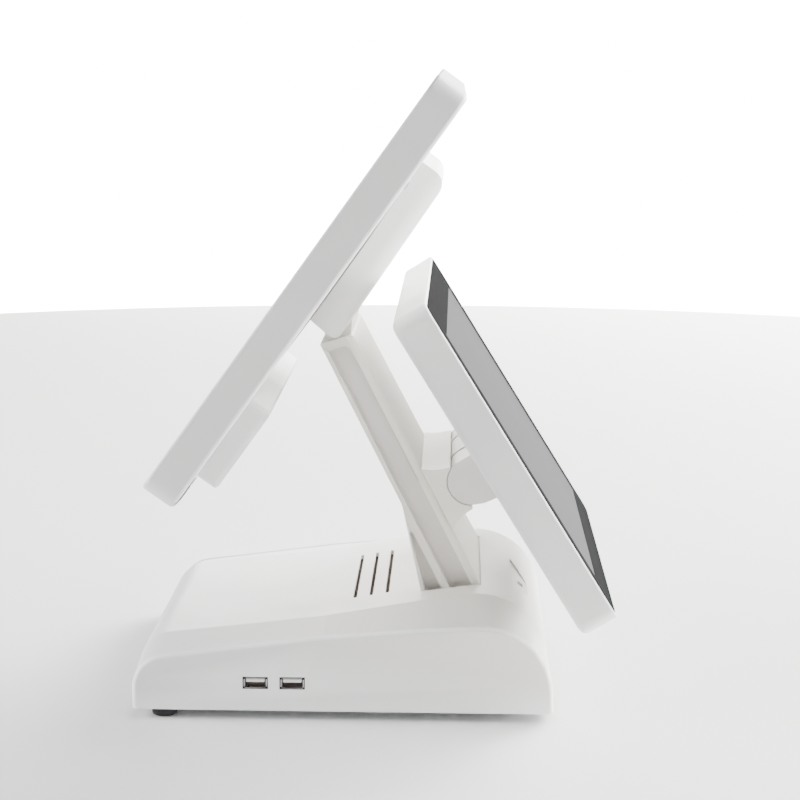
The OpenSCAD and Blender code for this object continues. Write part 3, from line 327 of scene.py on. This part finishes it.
def dress(obj, material, soft=0.0):
    """One material, smooth shading, and sharp edges rounded by soft millimetres or just split."""
    me = obj.data
    me.materials.clear()
    me.materials.append(material)
    for p in me.polygons:
        p.use_smooth = True
        p.material_index = 0
    obj.modifiers.new("weld", "WELD").merge_threshold = WELD_M
    if soft:
        bevel = obj.modifiers.new("soft_edges", "BEVEL")
        bevel.width, bevel.segments = soft / 1000, 3
        bevel.limit_method, bevel.angle_limit = "ANGLE", SHARP_ANGLE
        bevel.miter_outer = "MITER_ARC"
        normals = obj.modifiers.new("normals", "WEIGHTED_NORMAL")
        normals.keep_sharp, normals.weight = True, 70
    else:
        obj.modifiers.new("split", "EDGE_SPLIT").split_angle = SHARP_ANGLE


def on_arm_rim(centre):
    """True on the outer skin of the arm's sides, false in their pockets; centre is in metres."""
    x, z = abs(centre.x) * 1000, centre.z * 1000
    lean = (ARM_FOOT_W - ARM_TOP_W) / 2 / (ARM_TOP_Z - ARM_FOOT_Z)
    return x > ARM_FOOT_W / 2 - lean * max(0.0, z - ARM_FOOT_Z) - SKIN_DEPTH


def finish_node(name, obj):
    me = obj.data
    if "custom_normal" in me.attributes:
        me.attributes.remove(me.attributes["custom_normal"])
    key = SHADE.get(name, SLOT[slot_of[name]])
    dress(obj, mat[key], SOFT_EDGE.get(name, 0.0))
    # The arm shell's sides take two copies of the plastic: the lighter one paints light on the
    # rims, the darker one paints shade in the pockets
    if name == "arm_shell":
        me.materials.append(mat["ivory_and_painted_light"])
        for p in me.polygons:
            p.material_index = 1 if on_arm_rim(obj.matrix_world @ p.center) else 0


for node_name, node_obj in nodes.items():
    finish_node(node_name, node_obj)

# ---------------------------------------------------------------- mesh helpers
# Places on the base are in millimetres: y from its middle and z from its underside.

SHIFT_Y = -16.22597
FOOT_H = 5.5


def place(x, y, z):
    """A point of the base in the shared frame, in metres."""
    return Vector((x / 1000, (y + SHIFT_Y) / 1000, (z + FOOT_H) / 1000))


def mesh_object(name, bm):
    me = bpy.data.meshes.new(name)
    bm.to_mesh(me)
    bm.free()
    obj = bpy.data.objects.new(name, me)
    scene.collection.objects.link(obj)
    return obj


def arc_corner(p, q, s, r, n):
    """Points of a fillet of radius r at corner q between p and s."""
    p, q, s = Vector(p), Vector(q), Vector(s)
    u, v = (p - q).normalized(), (s - q).normalized()
    half = u.angle(v) / 2
    c = q + (u + v).normalized() * r / math.sin(half)
    a, b = q + u * r / math.tan(half) - c, q + v * r / math.tan(half) - c
    a0 = math.atan2(a.y, a.x)
    turn = (math.atan2(b.y, b.x) - a0 + math.pi) % (2 * math.pi) - math.pi
    return [(c.x + r * math.cos(a0 + turn * i / n), c.y + r * math.sin(a0 + turn * i / n))
            for i in range(n + 1)]


def outline(corners, n=12):
    """A closed outline through corners of (u, v, fillet radius), with n steps to a fillet."""
    out = []
    for i, q in enumerate(corners):
        p, s = corners[i - 1], corners[(i + 1) % len(corners)]
        out += [q[:2]] if q[2] == 0 else arc_corner(p[:2], q[:2], s[:2], q[2], n)
    return out


def mix(a, b, t):
    """The outline at share t of the way from a to b."""
    return [(p[0] * (1 - t) + q[0] * t, p[1] * (1 - t) + q[1] * t) for p, q in zip(a, b)]


def loft(rings):
    """A closed skin through side profiles, given as (x, profile)."""
    bm = bmesh.new()
    rows = [[bm.verts.new(place(x, y, z)) for y, z in profile] for x, profile in rings]
    m = len(rows[0])
    for a, b in zip(rows, rows[1:]):
        for k in range(m):
            bm.faces.new((a[k], a[(k + 1) % m], b[(k + 1) % m], b[k]))
    bm.faces.new(list(reversed(rows[0])))
    bm.faces.new(rows[-1])
    bmesh.ops.recalc_face_normals(bm, faces=bm.faces)
    return bm


def prism(bm, outline_pts, lo, hi, axis):
    """Adds a closed prism to bm; outline_pts lie in the plane across axis ('x', 'y' or 'z')."""
    def at(p, h):
        return place(*{"x": (h, p[0], p[1]), "y": (p[0], h, p[1]), "z": (p[0], p[1], h)}[axis])
    a = [bm.verts.new(at(p, lo)) for p in outline_pts]
    b = [bm.verts.new(at(p, hi)) for p in outline_pts]
    faces = [bm.faces.new(a), bm.faces.new(b)]
    n = len(a)
    faces += [bm.faces.new((a[k], a[(k + 1) % n], b[(k + 1) % n], b[k])) for k in range(n)]
    bmesh.ops.recalc_face_normals(bm, faces=faces)


def box_at(bm, lo, hi):
    prism(bm, [(lo[0], lo[1]), (hi[0], lo[1]), (hi[0], hi[1]), (lo[0], hi[1])], lo[2], hi[2], "z")


def slot_points(x, y, length, width, n=8):
    """Outline of a slot with round ends, along x."""
    pts = []
    for s in (1, -1):
        for k in range(n + 1):
            a = math.pi * k / n - math.pi / 2
            pts.append((x + s * ((length - width) / 2 + width / 2 * math.cos(a)),
                        y + s * width / 2 * math.sin(a)))
    return pts


def carve(obj, *tools):
    """Cuts the tools out of obj, one after another, and removes them."""
    for t in tools:
        m = obj.modifiers.new("cut", "BOOLEAN")
        m.operation, m.solver, m.object = "DIFFERENCE", "EXACT", t
    dg = bpy.context.evaluated_depsgraph_get()
    me = bpy.data.meshes.new_from_object(obj.evaluated_get(dg))
    obj.modifiers.clear()
    old, obj.data = obj.data, me
    bpy.data.meshes.remove(old)
    for t in tools:
        bpy.data.objects.remove(t)


# ---------------------------------------------------------------- base cover
# Sizes in millimetres, the same values as the CAD source, apart from the tail, which leans
# forward as in the photograph, and the flank's edge, which is sharper and stands proud.

BASE_W, NOSE_Y, TAIL_Y = 200.0, -118.2, 118.2
CROWN_W, EDGE_R, WALL = 144.0, 3.0, 2.5
KINK_Y, CLIMB_Y = -14.0, 45.0
NOSE_R, CROWN_NOSE_R, TAIL_R, BEND_R = 20.0, 21.0, 40.0, 150.0
# Heights at the nose, the kink, the climb and the tail
FLANK_H = (29.6, 43.4, 48.6, 52.2)
CROWN_H = (34.3, 46.6, 57.2, 66.2)
# How far the tail's top leans forward, and how far the crown's tail stands out
FLANK_LEAN, CROWN_LEAN = 2.2, 8.5
CROWN_OVER = 0.5
# How much the crown narrows per millimetre of inset, and the least edge radius inside
CROWN_TAPER, LEAST_R = 0.4, 0.5
# Half width of the crease between crown and shoulder
CREASE, CREASE_STEPS = 0.9, 6
# Height of the proud flank edge, and its flanks as (distance in from the edge, share of BEAD)
BEAD = 0.5
BEAD_STEPS = ((1.3, 1.0), (0.9, 0.85), (0.4, 0.15))
EDGE_ANGLES = (0, 10, 25, 40, 58, 75, 90)

GAP = 0.4
VENT_COUNT, VENT_Y0, VENT_PITCH, VENT_LEN, VENT_W = 3, 4.2, 9.4, 92.0, 2.1
USB_Y, USB_Z, USB_W, USB_H = (-48.6, -27.9), 16.2, 13.8, 6.6
BUTTON_Y, BUTTON_Z, BUTTON_R, BUTTON_SIDES = -82.0, 16.0, 5.6, 32
IO_W, IO_Z = 137.9, (3.6, 20.0)
ARM_HALF_W = 54.4
# Arm passage in side view: front at the gusset, rear at the arm's rear cover
ARM_HOLE = [(50.95, 20.0), (36.2, 84.5), (65.43, 84.5), (98.72, 20.0)]
# Lock pocket behind the arm: its front and rear edge from above, their depths, and its slot
LOCK_FRONT, LOCK_REAR = ((-22.5, 96.2), (41.0, 96.2)), ((31.0, 105.2), (6.0, 105.2))
LOCK_FRONT_DEPTH, LOCK_REAR_DEPTH = 1.3, 0.3
LOCK_SLOT = (15.7, 101.3, 7.0, 3.0)
# Heights that the cutting tools start from and end at, clear of the cover
CUT_LOW, SLOT_LOW, CUT_TOP, POCKET_TOP = 30, 35, 80, 90
# How far the cutting tools reach out of the cover's outer face and into it
USB_REACH, BUTTON_OUT, BUTTON_IN, IO_REACH = 8, 4, 10, 12
# The rolled edge of a flank, where the painted highlight goes: how far inside EDGE_R it starts, and
# the slant of its faces, as the share of their normal along x
ROLL_MARGIN, ROLL_SLANT = 0.2, (0.25, 0.93)


def side_profile(heights, over, lean, inset, z0, nose_r):
    """Outline in side view from nose to tail, moved in by inset, with its underside at z0."""
    return outline([
        (NOSE_Y + inset, z0, 0),
        (NOSE_Y + inset, heights[0] - inset, nose_r - inset),
        (KINK_Y, heights[1] - inset, BEND_R),
        (CLIMB_Y, heights[2] - inset, BEND_R),
        (TAIL_Y + over - lean - inset, heights[3] - inset, TAIL_R - inset),
        (TAIL_Y + over - inset, z0, 0)])


def crown_profile(inset, z0):
    return side_profile(CROWN_H, CROWN_OVER, CROWN_LEAN, inset, z0, CROWN_NOSE_R)


def flank_profile(inset, z0):
    return side_profile(FLANK_H, 0.0, FLANK_LEAN, inset, z0, NOSE_R)


def base_rings(inset, z0):
    """Side profiles from the middle of the crown out to one flank, as (x, profile)."""
    crown, flank = crown_profile(inset, z0), flank_profile(inset, z0)
    x0 = CROWN_W / 2 - inset * CROWN_TAPER
    x1 = BASE_W / 2 - max(EDGE_R, inset + LEAST_R)
    after = mix(crown, flank, CREASE / (x1 - x0))
    rings = []
    for k in range(CREASE_STEPS + 1):
        t = k / CREASE_STEPS
        rings.append((x0 - CREASE + 2 * CREASE * t, mix(crown, after, t * t)))
    shoulder_x = (x0 + CREASE + x1) / 2
    if inset == 0:
        # The flank stands a little proud of the shoulder; the light line round it is a painted
        # highlight
        rings.append((shoulder_x, mix(after, flank_profile(BEAD, z0), 0.5)))
        for back, share in BEAD_STEPS:
            rings.append((x1 - back, flank_profile(BEAD * share, z0)))
    else:
        rings.append((shoulder_x, mix(after, flank, 0.5)))
    r = max(LEAST_R, EDGE_R - inset)
    for angle in EDGE_ANGLES:
        s, c = math.sin(math.radians(angle)), math.cos(math.radians(angle))
        rings.append((BASE_W / 2 - inset - r + r * s, flank_profile(inset + r * (1 - c), z0)))
    return rings


def base_skin(inset, z0):
    half = base_rings(inset, z0)
    return loft([(-x, p) for x, p in reversed(half)] + half)


def crown_height(y):
    """Height of the crown's top surface at y."""
    nose_foot = 20
    top = [p for p in crown_profile(0, 0) if p[1] > nose_foot]
    for p, q in zip(top, top[1:]):
        if p[0] <= y <= q[0]:
            return p[1] + (q[1] - p[1]) * (y - p[0]) / (q[0] - p[0])
    return top[0][1]


def mark_flank_highlight(me):
    """Marks the rolled edge round each flank, where a painted highlight lightens the colour."""
    edge = me.attributes.new("edge", "FLOAT", "POINT")
    for v in me.vertices:
        across = abs(v.co.x) * 1000 - (BASE_W / 2 - EDGE_R)
        painted_highlight = across > -ROLL_MARGIN and ROLL_SLANT[0] < abs(v.normal.x) < ROLL_SLANT[1]
        edge.data[v.index].value = 1.0 if painted_highlight else 0.0


def holes_tool():
    """All that goes through the cover: vents, arm, USB, button, rear panel and lock slot."""
    bm = bmesh.new()
    for k in range(VENT_COUNT):
        prism(bm, slot_points(0, VENT_Y0 + k * VENT_PITCH, VENT_LEN, VENT_W),
              CUT_LOW, CUT_TOP, "z")
    prism(bm, ARM_HOLE, -ARM_HALF_W, ARM_HALF_W, "x")
    half_y, half_z = (USB_W + GAP) / 2, (USB_H + GAP) / 2
    for y in USB_Y:
        box_at(bm, (BASE_W / 2 - USB_REACH, y - half_y, USB_Z - half_z),
               (BASE_W / 2 + USB_REACH, y + half_y, USB_Z + half_z))
    turns = [k * math.pi / (BUTTON_SIDES / 2) for k in range(BUTTON_SIDES)]
    prism(bm, [(BUTTON_Y + BUTTON_R * math.cos(a), BUTTON_Z + BUTTON_R * math.sin(a))
               for a in turns], -BASE_W / 2 - BUTTON_OUT, -BASE_W / 2 + BUTTON_IN, "x")
    box_at(bm, (-IO_W / 2, TAIL_Y - IO_REACH, IO_Z[0]),
           (IO_W / 2, TAIL_Y + IO_REACH, IO_Z[1]))
    x, y, w, d = LOCK_SLOT
    box_at(bm, (x - w / 2, y - d / 2, SLOT_LOW), (x + w / 2, y + d / 2, CUT_TOP))
    return mesh_object("tool_holes", bm)


def pocket_tool():
    """The lock pocket, whose floor slopes with the crown from its front to its rear edge."""
    bm = bmesh.new()
    floor_z = {}
    for edge, depth in ((LOCK_FRONT, LOCK_FRONT_DEPTH), (LOCK_REAR, LOCK_REAR_DEPTH)):
        y = edge[0][1]
        floor_z[y] = crown_height(y) - depth
    corners = (*LOCK_FRONT, *LOCK_REAR)
    top = [bm.verts.new(place(*p, POCKET_TOP)) for p in corners]
    low = [bm.verts.new(place(*p, floor_z[p[1]])) for p in corners]
    bm.faces.new(top)
    bm.faces.new(list(reversed(low)))
    for k in range(4):
        bm.faces.new((top[k], low[k], low[(k + 1) % 4], top[(k + 1) % 4]))
    bmesh.ops.recalc_face_normals(bm, faces=bm.faces)
    return mesh_object("tool_pocket", bm)


def make_base_cover():
    cover = mesh_object("base_cover_shell", base_skin(0, 0))
    inner = mesh_object("tool_inner", base_skin(WALL, -1))
    carve(cover, inner, holes_tool(), pocket_tool())
    mark_flank_highlight(cover.data)
    dress(cover, mat["base_white"], 0.35)
    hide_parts("base_cover", "neck_collar")
    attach(cover, "stand")


make_base_cover()

# ---------------------------------------------------------------- fittings of the base

# Dust screen: blocks to a slot, their half width, and their top and bottom under the crown
SCREEN_BLOCKS, BLOCK_HALF, BLOCK_TOP, BLOCK_LOW = 24, 1.6, 2.7, 3.4
STRIP_HALF, STRIP_TOP, STRIP_LOW, STRIP_PAST = 1.9, 3.3, 3.8, 1


def make_vent_screen():
    """The dark dust screen under the vents: a strip under each slot with a row of blocks on it."""
    bm = bmesh.new()
    for k in range(VENT_COUNT):
        y = VENT_Y0 + k * VENT_PITCH
        z = crown_height(y)
        for j in range(SCREEN_BLOCKS):
            x = -VENT_LEN / 2 + (j + 0.5) * VENT_LEN / SCREEN_BLOCKS
            box_at(bm, (x - BLOCK_HALF, y - BLOCK_HALF, z - BLOCK_LOW),
                   (x + BLOCK_HALF, y + BLOCK_HALF, z - BLOCK_TOP))
        box_at(bm, (-VENT_LEN / 2 - STRIP_PAST, y - STRIP_HALF, z - STRIP_LOW),
               (VENT_LEN / 2 + STRIP_PAST, y + STRIP_HALF, z - STRIP_TOP))
    obj = mesh_object("vent_screen", bm)
    dress(obj, mat["dust_screen"], 0.1)
    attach(obj, "stand")


make_vent_screen()

FOOT_SPOTS = ((90.5, -101.2), (-90.5, -101.2), (79.0, 97.0), (-79.0, 97.0))
FOOT_R, FOOT_SIDES = 7.2, 40
# Side of a foot as (radius, height): tread with a ring groove, then the wall up to the base
FOOT_SIDE = ((3.2, 0.0), (3.5, 0.5), (4.3, 0.5), (4.6, 0.0),
             (FOOT_R - 1.4, 0.0), (FOOT_R - 0.5, 0.35), (FOOT_R - 0.1, 1.2),
             (FOOT_R, 2.2), (FOOT_R, 5.2), (FOOT_R - 0.3, 5.5))


def make_feet():
    """Turned rubber feet with a rounded tread and a shallow ring groove."""
    bm = bmesh.new()
    n = FOOT_SIDES
    turns = [2 * math.pi * k / n for k in range(n)]
    for cx, cy in FOOT_SPOTS:
        rows = [[bm.verts.new(place(cx + r * math.cos(a), cy + r * math.sin(a), z - FOOT_H))
                 for a in turns] for r, z in FOOT_SIDE]
        faces = [bm.faces.new(list(reversed(rows[0]))), bm.faces.new(rows[-1])]
        for a, b in zip(rows, rows[1:]):
            faces += [bm.faces.new((a[k], a[(k + 1) % n], b[(k + 1) % n], b[k]))
                      for k in range(n)]
        bmesh.ops.recalc_face_normals(bm, faces=faces)
    obj = mesh_object("foot_pads", bm)
    dress(obj, mat["rubber"])
    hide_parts("rubber_feet")
    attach(obj, "stand")


make_feet()

# Side ports. Each piece's x is its inner and outer end from the flank, outward positive, and
# its half sizes or heights are from the port's middle.
SURROUND_X, SURROUND, SURROUND_HOLE = (-5, 0.02), (7.08, 3.48), (6.55, 3.0)
SHELL_X, SHELL, SHELL_HOLE = (-13, -0.1), (6.5, 2.96), (5.95, 2.72)
TONGUE_X, TONGUE_HALF, TONGUE_Z = (-9, -0.4), 5.05, (0.4, 2.2)
THROAT_X, THROAT_HALF, THROAT_Z = (-13.5, -2.6), 5.75, (-2.72, 2.72)
# Contacts on the throat: where the first one starts in y, their width, pitch and number
CONTACT_X, CONTACT_Z = (-3, -1.4), (-0.4, 0.3)
CONTACT_Y, CONTACT_W, CONTACT_PITCH, CONTACT_COUNT = -3.9, 0.6, 2.4, 4
# Blocks that fill the corners of the surround: middle in y and z, and half size
CORNER_X, CORNER_Y, CORNER_Z, CORNER_HALF = (-2, 0.06), 6.4, 2.85, 0.62


def port_box(bm, xs, ys, zs):
    """A box of a side port; xs are from the flank, ys from the base's middle, zs from the port."""
    flank = BASE_W / 2
    box_at(bm, (flank + xs[0], ys[0], USB_Z + zs[0]), (flank + xs[1], ys[1], USB_Z + zs[1]))


def port_ring(bm, y, half, hole, xs):
    """A rectangular tube round a side port; xs are from the flank."""
    x0, x1 = BASE_W / 2 + xs[0], BASE_W / 2 + xs[1]

    def loop(h, x):
        return [bm.verts.new(place(x, y + sy * h[0], USB_Z + sz * h[1]))
                for sy, sz in ((1, 1), (-1, 1), (-1, -1), (1, -1))]
    a, b, c, d = loop(half, x0), loop(half, x1), loop(hole, x0), loop(hole, x1)
    faces = []
    for k in range(4):
        j = (k + 1) % 4
        for quad in ((a[k], a[j], b[j], b[k]), (c[j], c[k], d[k], d[j]),
                     (a[j], a[k], c[k], c[j]), (b[k], b[j], d[j], d[k])):
            faces.append(bm.faces.new(quad))
    bmesh.ops.recalc_face_normals(bm, faces=faces)


def make_side_ports():
    """Type A sockets: dark gap, folded steel shell, white tongue in the upper half, dark throat."""
    gap, shell, tongue, throat = (bmesh.new() for _ in range(4))
    for y in USB_Y:
        port_ring(gap, y, SURROUND, SURROUND_HOLE, SURROUND_X)
        port_ring(shell, y, SHELL, SHELL_HOLE, SHELL_X)
        port_box(tongue, TONGUE_X, (y - TONGUE_HALF, y + TONGUE_HALF), TONGUE_Z)
        port_box(throat, THROAT_X, (y - THROAT_HALF, y + THROAT_HALF), THROAT_Z)
        for k in range(CONTACT_COUNT):
            y0 = y + CONTACT_Y + k * CONTACT_PITCH
            port_box(throat, CONTACT_X, (y0, y0 + CONTACT_W), CONTACT_Z)
        for cy in (y - CORNER_Y, y + CORNER_Y):
            for cz in (-CORNER_Z, CORNER_Z):
                port_box(gap, CORNER_X, (cy - CORNER_HALF, cy + CORNER_HALF),
                         (cz - CORNER_HALF, cz + CORNER_HALF))
    for name, bm, material, slot_name, soft in (
            ("side_usb_surround", gap, "port_dark", "black_plastic", 0.0),
            ("side_usb_shell", shell, "steel", "zinc_steel", 0.12),
            ("side_usb_tongue", tongue, "port_white", "black_plastic", 0.15),
            ("side_usb_throat", throat, "port_dark", "black_plastic", 0.1)):
        obj = mesh_object(name, bm)
        dress(obj, mat[material], soft)
        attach(obj, "stand")
        if name == "side_usb_shell":
            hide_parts("side_usb_shells")
        if name == "side_usb_tongue":
            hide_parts("side_usb_tongues")


make_side_ports()

# ---------------------------------------------------------------- screens
# Sizes in metres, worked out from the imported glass.

BORDER_HOLE_R, AREA_R = 0.0012, 0.0013
AREA_OVERLAP, AREA_BACK, AREA_FRONT = 0.0001, 0.0002, 0.00003
CORNER_STEPS = 8
TILT_STEPS = 3600


def rounded_rectangle(w, h, r):
    """Points of a rectangle of half sizes w and h with corners of radius r."""
    pts = []
    for cx, cy, a0 in ((1, 1, 0), (-1, 1, 90), (-1, -1, 180), (1, -1, 270)):
        for k in range(CORNER_STEPS + 1):
            a = math.radians(a0 + k * 90 / CORNER_STEPS)
            pts.append((cx * (w - r) + r * math.cos(a), cy * (h - r) + r * math.sin(a)))
    return pts


def plate(name, axes, half_w, half_h, r, z0, z1, hole=None):
    """A rounded plate, from z0 to z1 along the normal; axes = (centre, right, up, normal), and
    hole = (half_w, half_h, r) opens it."""
    centre, ex, ey, n = axes
    bm = bmesh.new()

    def row(pts, z):
        return [bm.verts.new(centre + ex * x + ey * y + n * z) for x, y in pts]
    outer = rounded_rectangle(half_w, half_h, r)
    a, b = row(outer, z0), row(outer, z1)
    m = len(a)
    for k in range(m):
        bm.faces.new((a[k], a[(k + 1) % m], b[(k + 1) % m], b[k]))
    if hole:
        inner = rounded_rectangle(*hole)
        c, d = row(inner, z0), row(inner, z1)
        for k in range(m):
            j = (k + 1) % m
            bm.faces.new((c[j], c[k], d[k], d[j]))
            bm.faces.new((a[j], a[k], c[k], c[j]))
            bm.faces.new((b[k], b[j], d[j], d[k]))
    else:
        bm.faces.new(list(reversed(a)))
        bm.faces.new(b)
    bmesh.ops.recalc_face_normals(bm, faces=bm.faces)
    return mesh_object(name, bm)


def world_points(node):
    o = nodes[node]
    return [o.matrix_world @ v.co for v in o.data.vertices]


def extent(points, axis):
    d = [p.dot(axis) for p in points]
    return min(d), max(d)


def screen_normal(glass, panel):
    """The direction across x in which the glass is thinnest, away from its panel."""
    away = sum(glass, Vector()) / len(glass) - sum(panel, Vector()) / len(panel)
    best_depth, best = None, None
    for k in range(TILT_STEPS):
        a = math.radians(k * 360 / TILT_STEPS)
        n = Vector((0, math.cos(a), math.sin(a)))
        lo, hi = extent(glass, n)
        if n.dot(away) > 0 and (best is None or hi - lo < best_depth):
            best_depth, best = hi - lo, n
    return best


def make_screen(prefix, glass_node, panel_node, body, r, side, ends):
    """The touch glass with its dark printed border, and the display area seen through it; r
    rounds the glass, and side and ends are the border's widths along x and along the slope."""
    glass = world_points(glass_node)
    ex = Vector((1, 0, 0))
    n = screen_normal(glass, world_points(panel_node))
    ey = n.cross(ex)
    (x0, x1), (y0, y1), (z0, z1) = extent(glass, ex), extent(glass, ey), extent(glass, n)
    axes = (ex * (x0 + x1) / 2 + ey * (y0 + y1) / 2, ex, ey, n)
    open_w, open_h = (x1 - x0) / 2 - side, (y1 - y0) / 2 - ends
    border = plate(prefix + "_glass_border", axes, (x1 - x0) / 2, (y1 - y0) / 2, r, z0, z1,
                   (open_w, open_h, BORDER_HOLE_R))
    dress(border, mat["border_glass"], 0.3)
    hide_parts(glass_node)
    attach(border, body)
    area = plate(prefix + "_display_area", axes, open_w + AREA_OVERLAP, open_h + AREA_OVERLAP,
                 AREA_R, z0 + AREA_BACK, z1 - AREA_FRONT)
    dress(area, mat["display_area"])
    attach(area, body)


make_screen("main", "main_glass", "main_panel", "main_display",
            r=0.008, side=0.012, ends=0.012)
make_screen("customer", "customer_glass", "customer_panel", "customer_display",
            r=0.004, side=0.018, ends=0.0202)

# ---------------------------------------------------------------- stage

FLOOR_R, FLOOR_SIDES = 1.6, 96
DOME_R, DOME_STRENGTH = 9.0, 20.0


def make_floor():
    """A plain pale disc under the object."""
    bm = bmesh.new()
    n = FLOOR_SIDES
    centre = bm.verts.new((0, 0, 0))
    turns = [2 * math.pi * k / n for k in range(n)]
    rings = [[bm.verts.new((r * math.cos(a), r * math.sin(a), 0)) for a in turns]
             for r in (FLOOR_R / 3, FLOOR_R * 2 / 3, FLOOR_R)]
    for k in range(n):
        bm.faces.new((centre, rings[0][k], rings[0][(k + 1) % n]))
    for a, b in zip(rings, rings[1:]):
        for k in range(n):
            bm.faces.new((a[k], b[k], b[(k + 1) % n], a[(k + 1) % n]))
    s = Shader("floor_paper", (0.9, 0.9, 0.9), 0.9, spec=0.1)
    s.vary(scale=1.3, amount=0.006)
    obj = mesh_object("floor", bm)
    obj.data.materials.append(s.mat)


def make_backdrop():
    """An over-exposed white surround beyond the floor; only the camera sees it."""
    bm = bmesh.new()
    bmesh.ops.create_icosphere(bm, subdivisions=4, radius=DOME_R)
    for f in bm.faces:
        f.normal_flip()
        f.smooth = True
    obj = mesh_object("backdrop", bm)
    m = bpy.data.materials.new("backdrop_white")
    m.use_nodes = True
    nt = m.node_tree
    nt.nodes.remove(nt.nodes["Principled BSDF"])
    e = nt.nodes.new("ShaderNodeEmission")
    e.inputs["Strength"].default_value = DOME_STRENGTH
    noise = nt.nodes.new("ShaderNodeTexNoise")
    noise.inputs["Scale"].default_value = 0.4
    ramp = nt.nodes.new("ShaderNodeValToRGB")
    ramp.color_ramp.elements[0].color = (0.97, 0.97, 0.97, 1)
    ramp.color_ramp.elements[1].color = (1, 1, 1, 1)
    nt.links.new(noise.outputs["Fac"], ramp.inputs["Fac"])
    nt.links.new(ramp.outputs["Color"], e.inputs["Color"])
    nt.links.new(e.outputs["Emission"], nt.nodes["Material Output"].inputs["Surface"])
    obj.data.materials.append(m)
    obj.visible_diffuse = obj.visible_glossy = False
    obj.visible_transmission = obj.visible_shadow = False


make_floor()
make_backdrop()

# ---------------------------------------------------------------- light

WORLD_STRENGTH = 0.05
AIM = (0, 0, 0.15)


def make_world():
    world = bpy.data.worlds.new("studio")
    scene.world = world
    world.use_nodes = True
    background = world.node_tree.nodes["Background"]
    background.inputs["Color"].default_value = (1, 1, 1, 1)
    background.inputs["Strength"].default_value = WORLD_STRENGTH


def area_light(name, at, to, size, watts, color=(1, 1, 1)):
    """A soft box at one place, turned to another, that the camera doesn't see."""
    d = bpy.data.lights.new(name, "AREA")
    d.shape, d.size, d.size_y = "RECTANGLE", size[0], size[1]
    d.energy, d.color = watts, color
    o = bpy.data.objects.new(name, d)
    o.location = at
    o.rotation_euler = (Vector(to) - Vector(at)).to_track_quat("-Z", "Y").to_euler()
    scene.collection.objects.link(o)
    o.visible_camera = False


make_world()
area_light("key_far_rear", (-1.5, 1.5, 1.1), AIM, (1.4, 1.2), 240, (1.0, 0.99, 0.97))
area_light("far_low", (-2.0, 0.05, 0.45), (0, 0.05, 0.15), (1.6, 0.6), 38, (1.0, 0.985, 0.96))
area_light("front_light", (0.3, -2.0, 0.9), AIM, (1.6, 1.2), 92)
area_light("rear_top", (0.0, 1.3, 1.9), AIM, (1.6, 1.2), 48)
area_light("floor_rear", (0.1, 0.75, 0.02), (0.1, 0.4, 0.5), (0.9, 0.6), 60)
area_light("floor_front", (0.1, -0.75, 0.02), (0.1, -0.4, 0.5), (0.9, 0.6), 4)
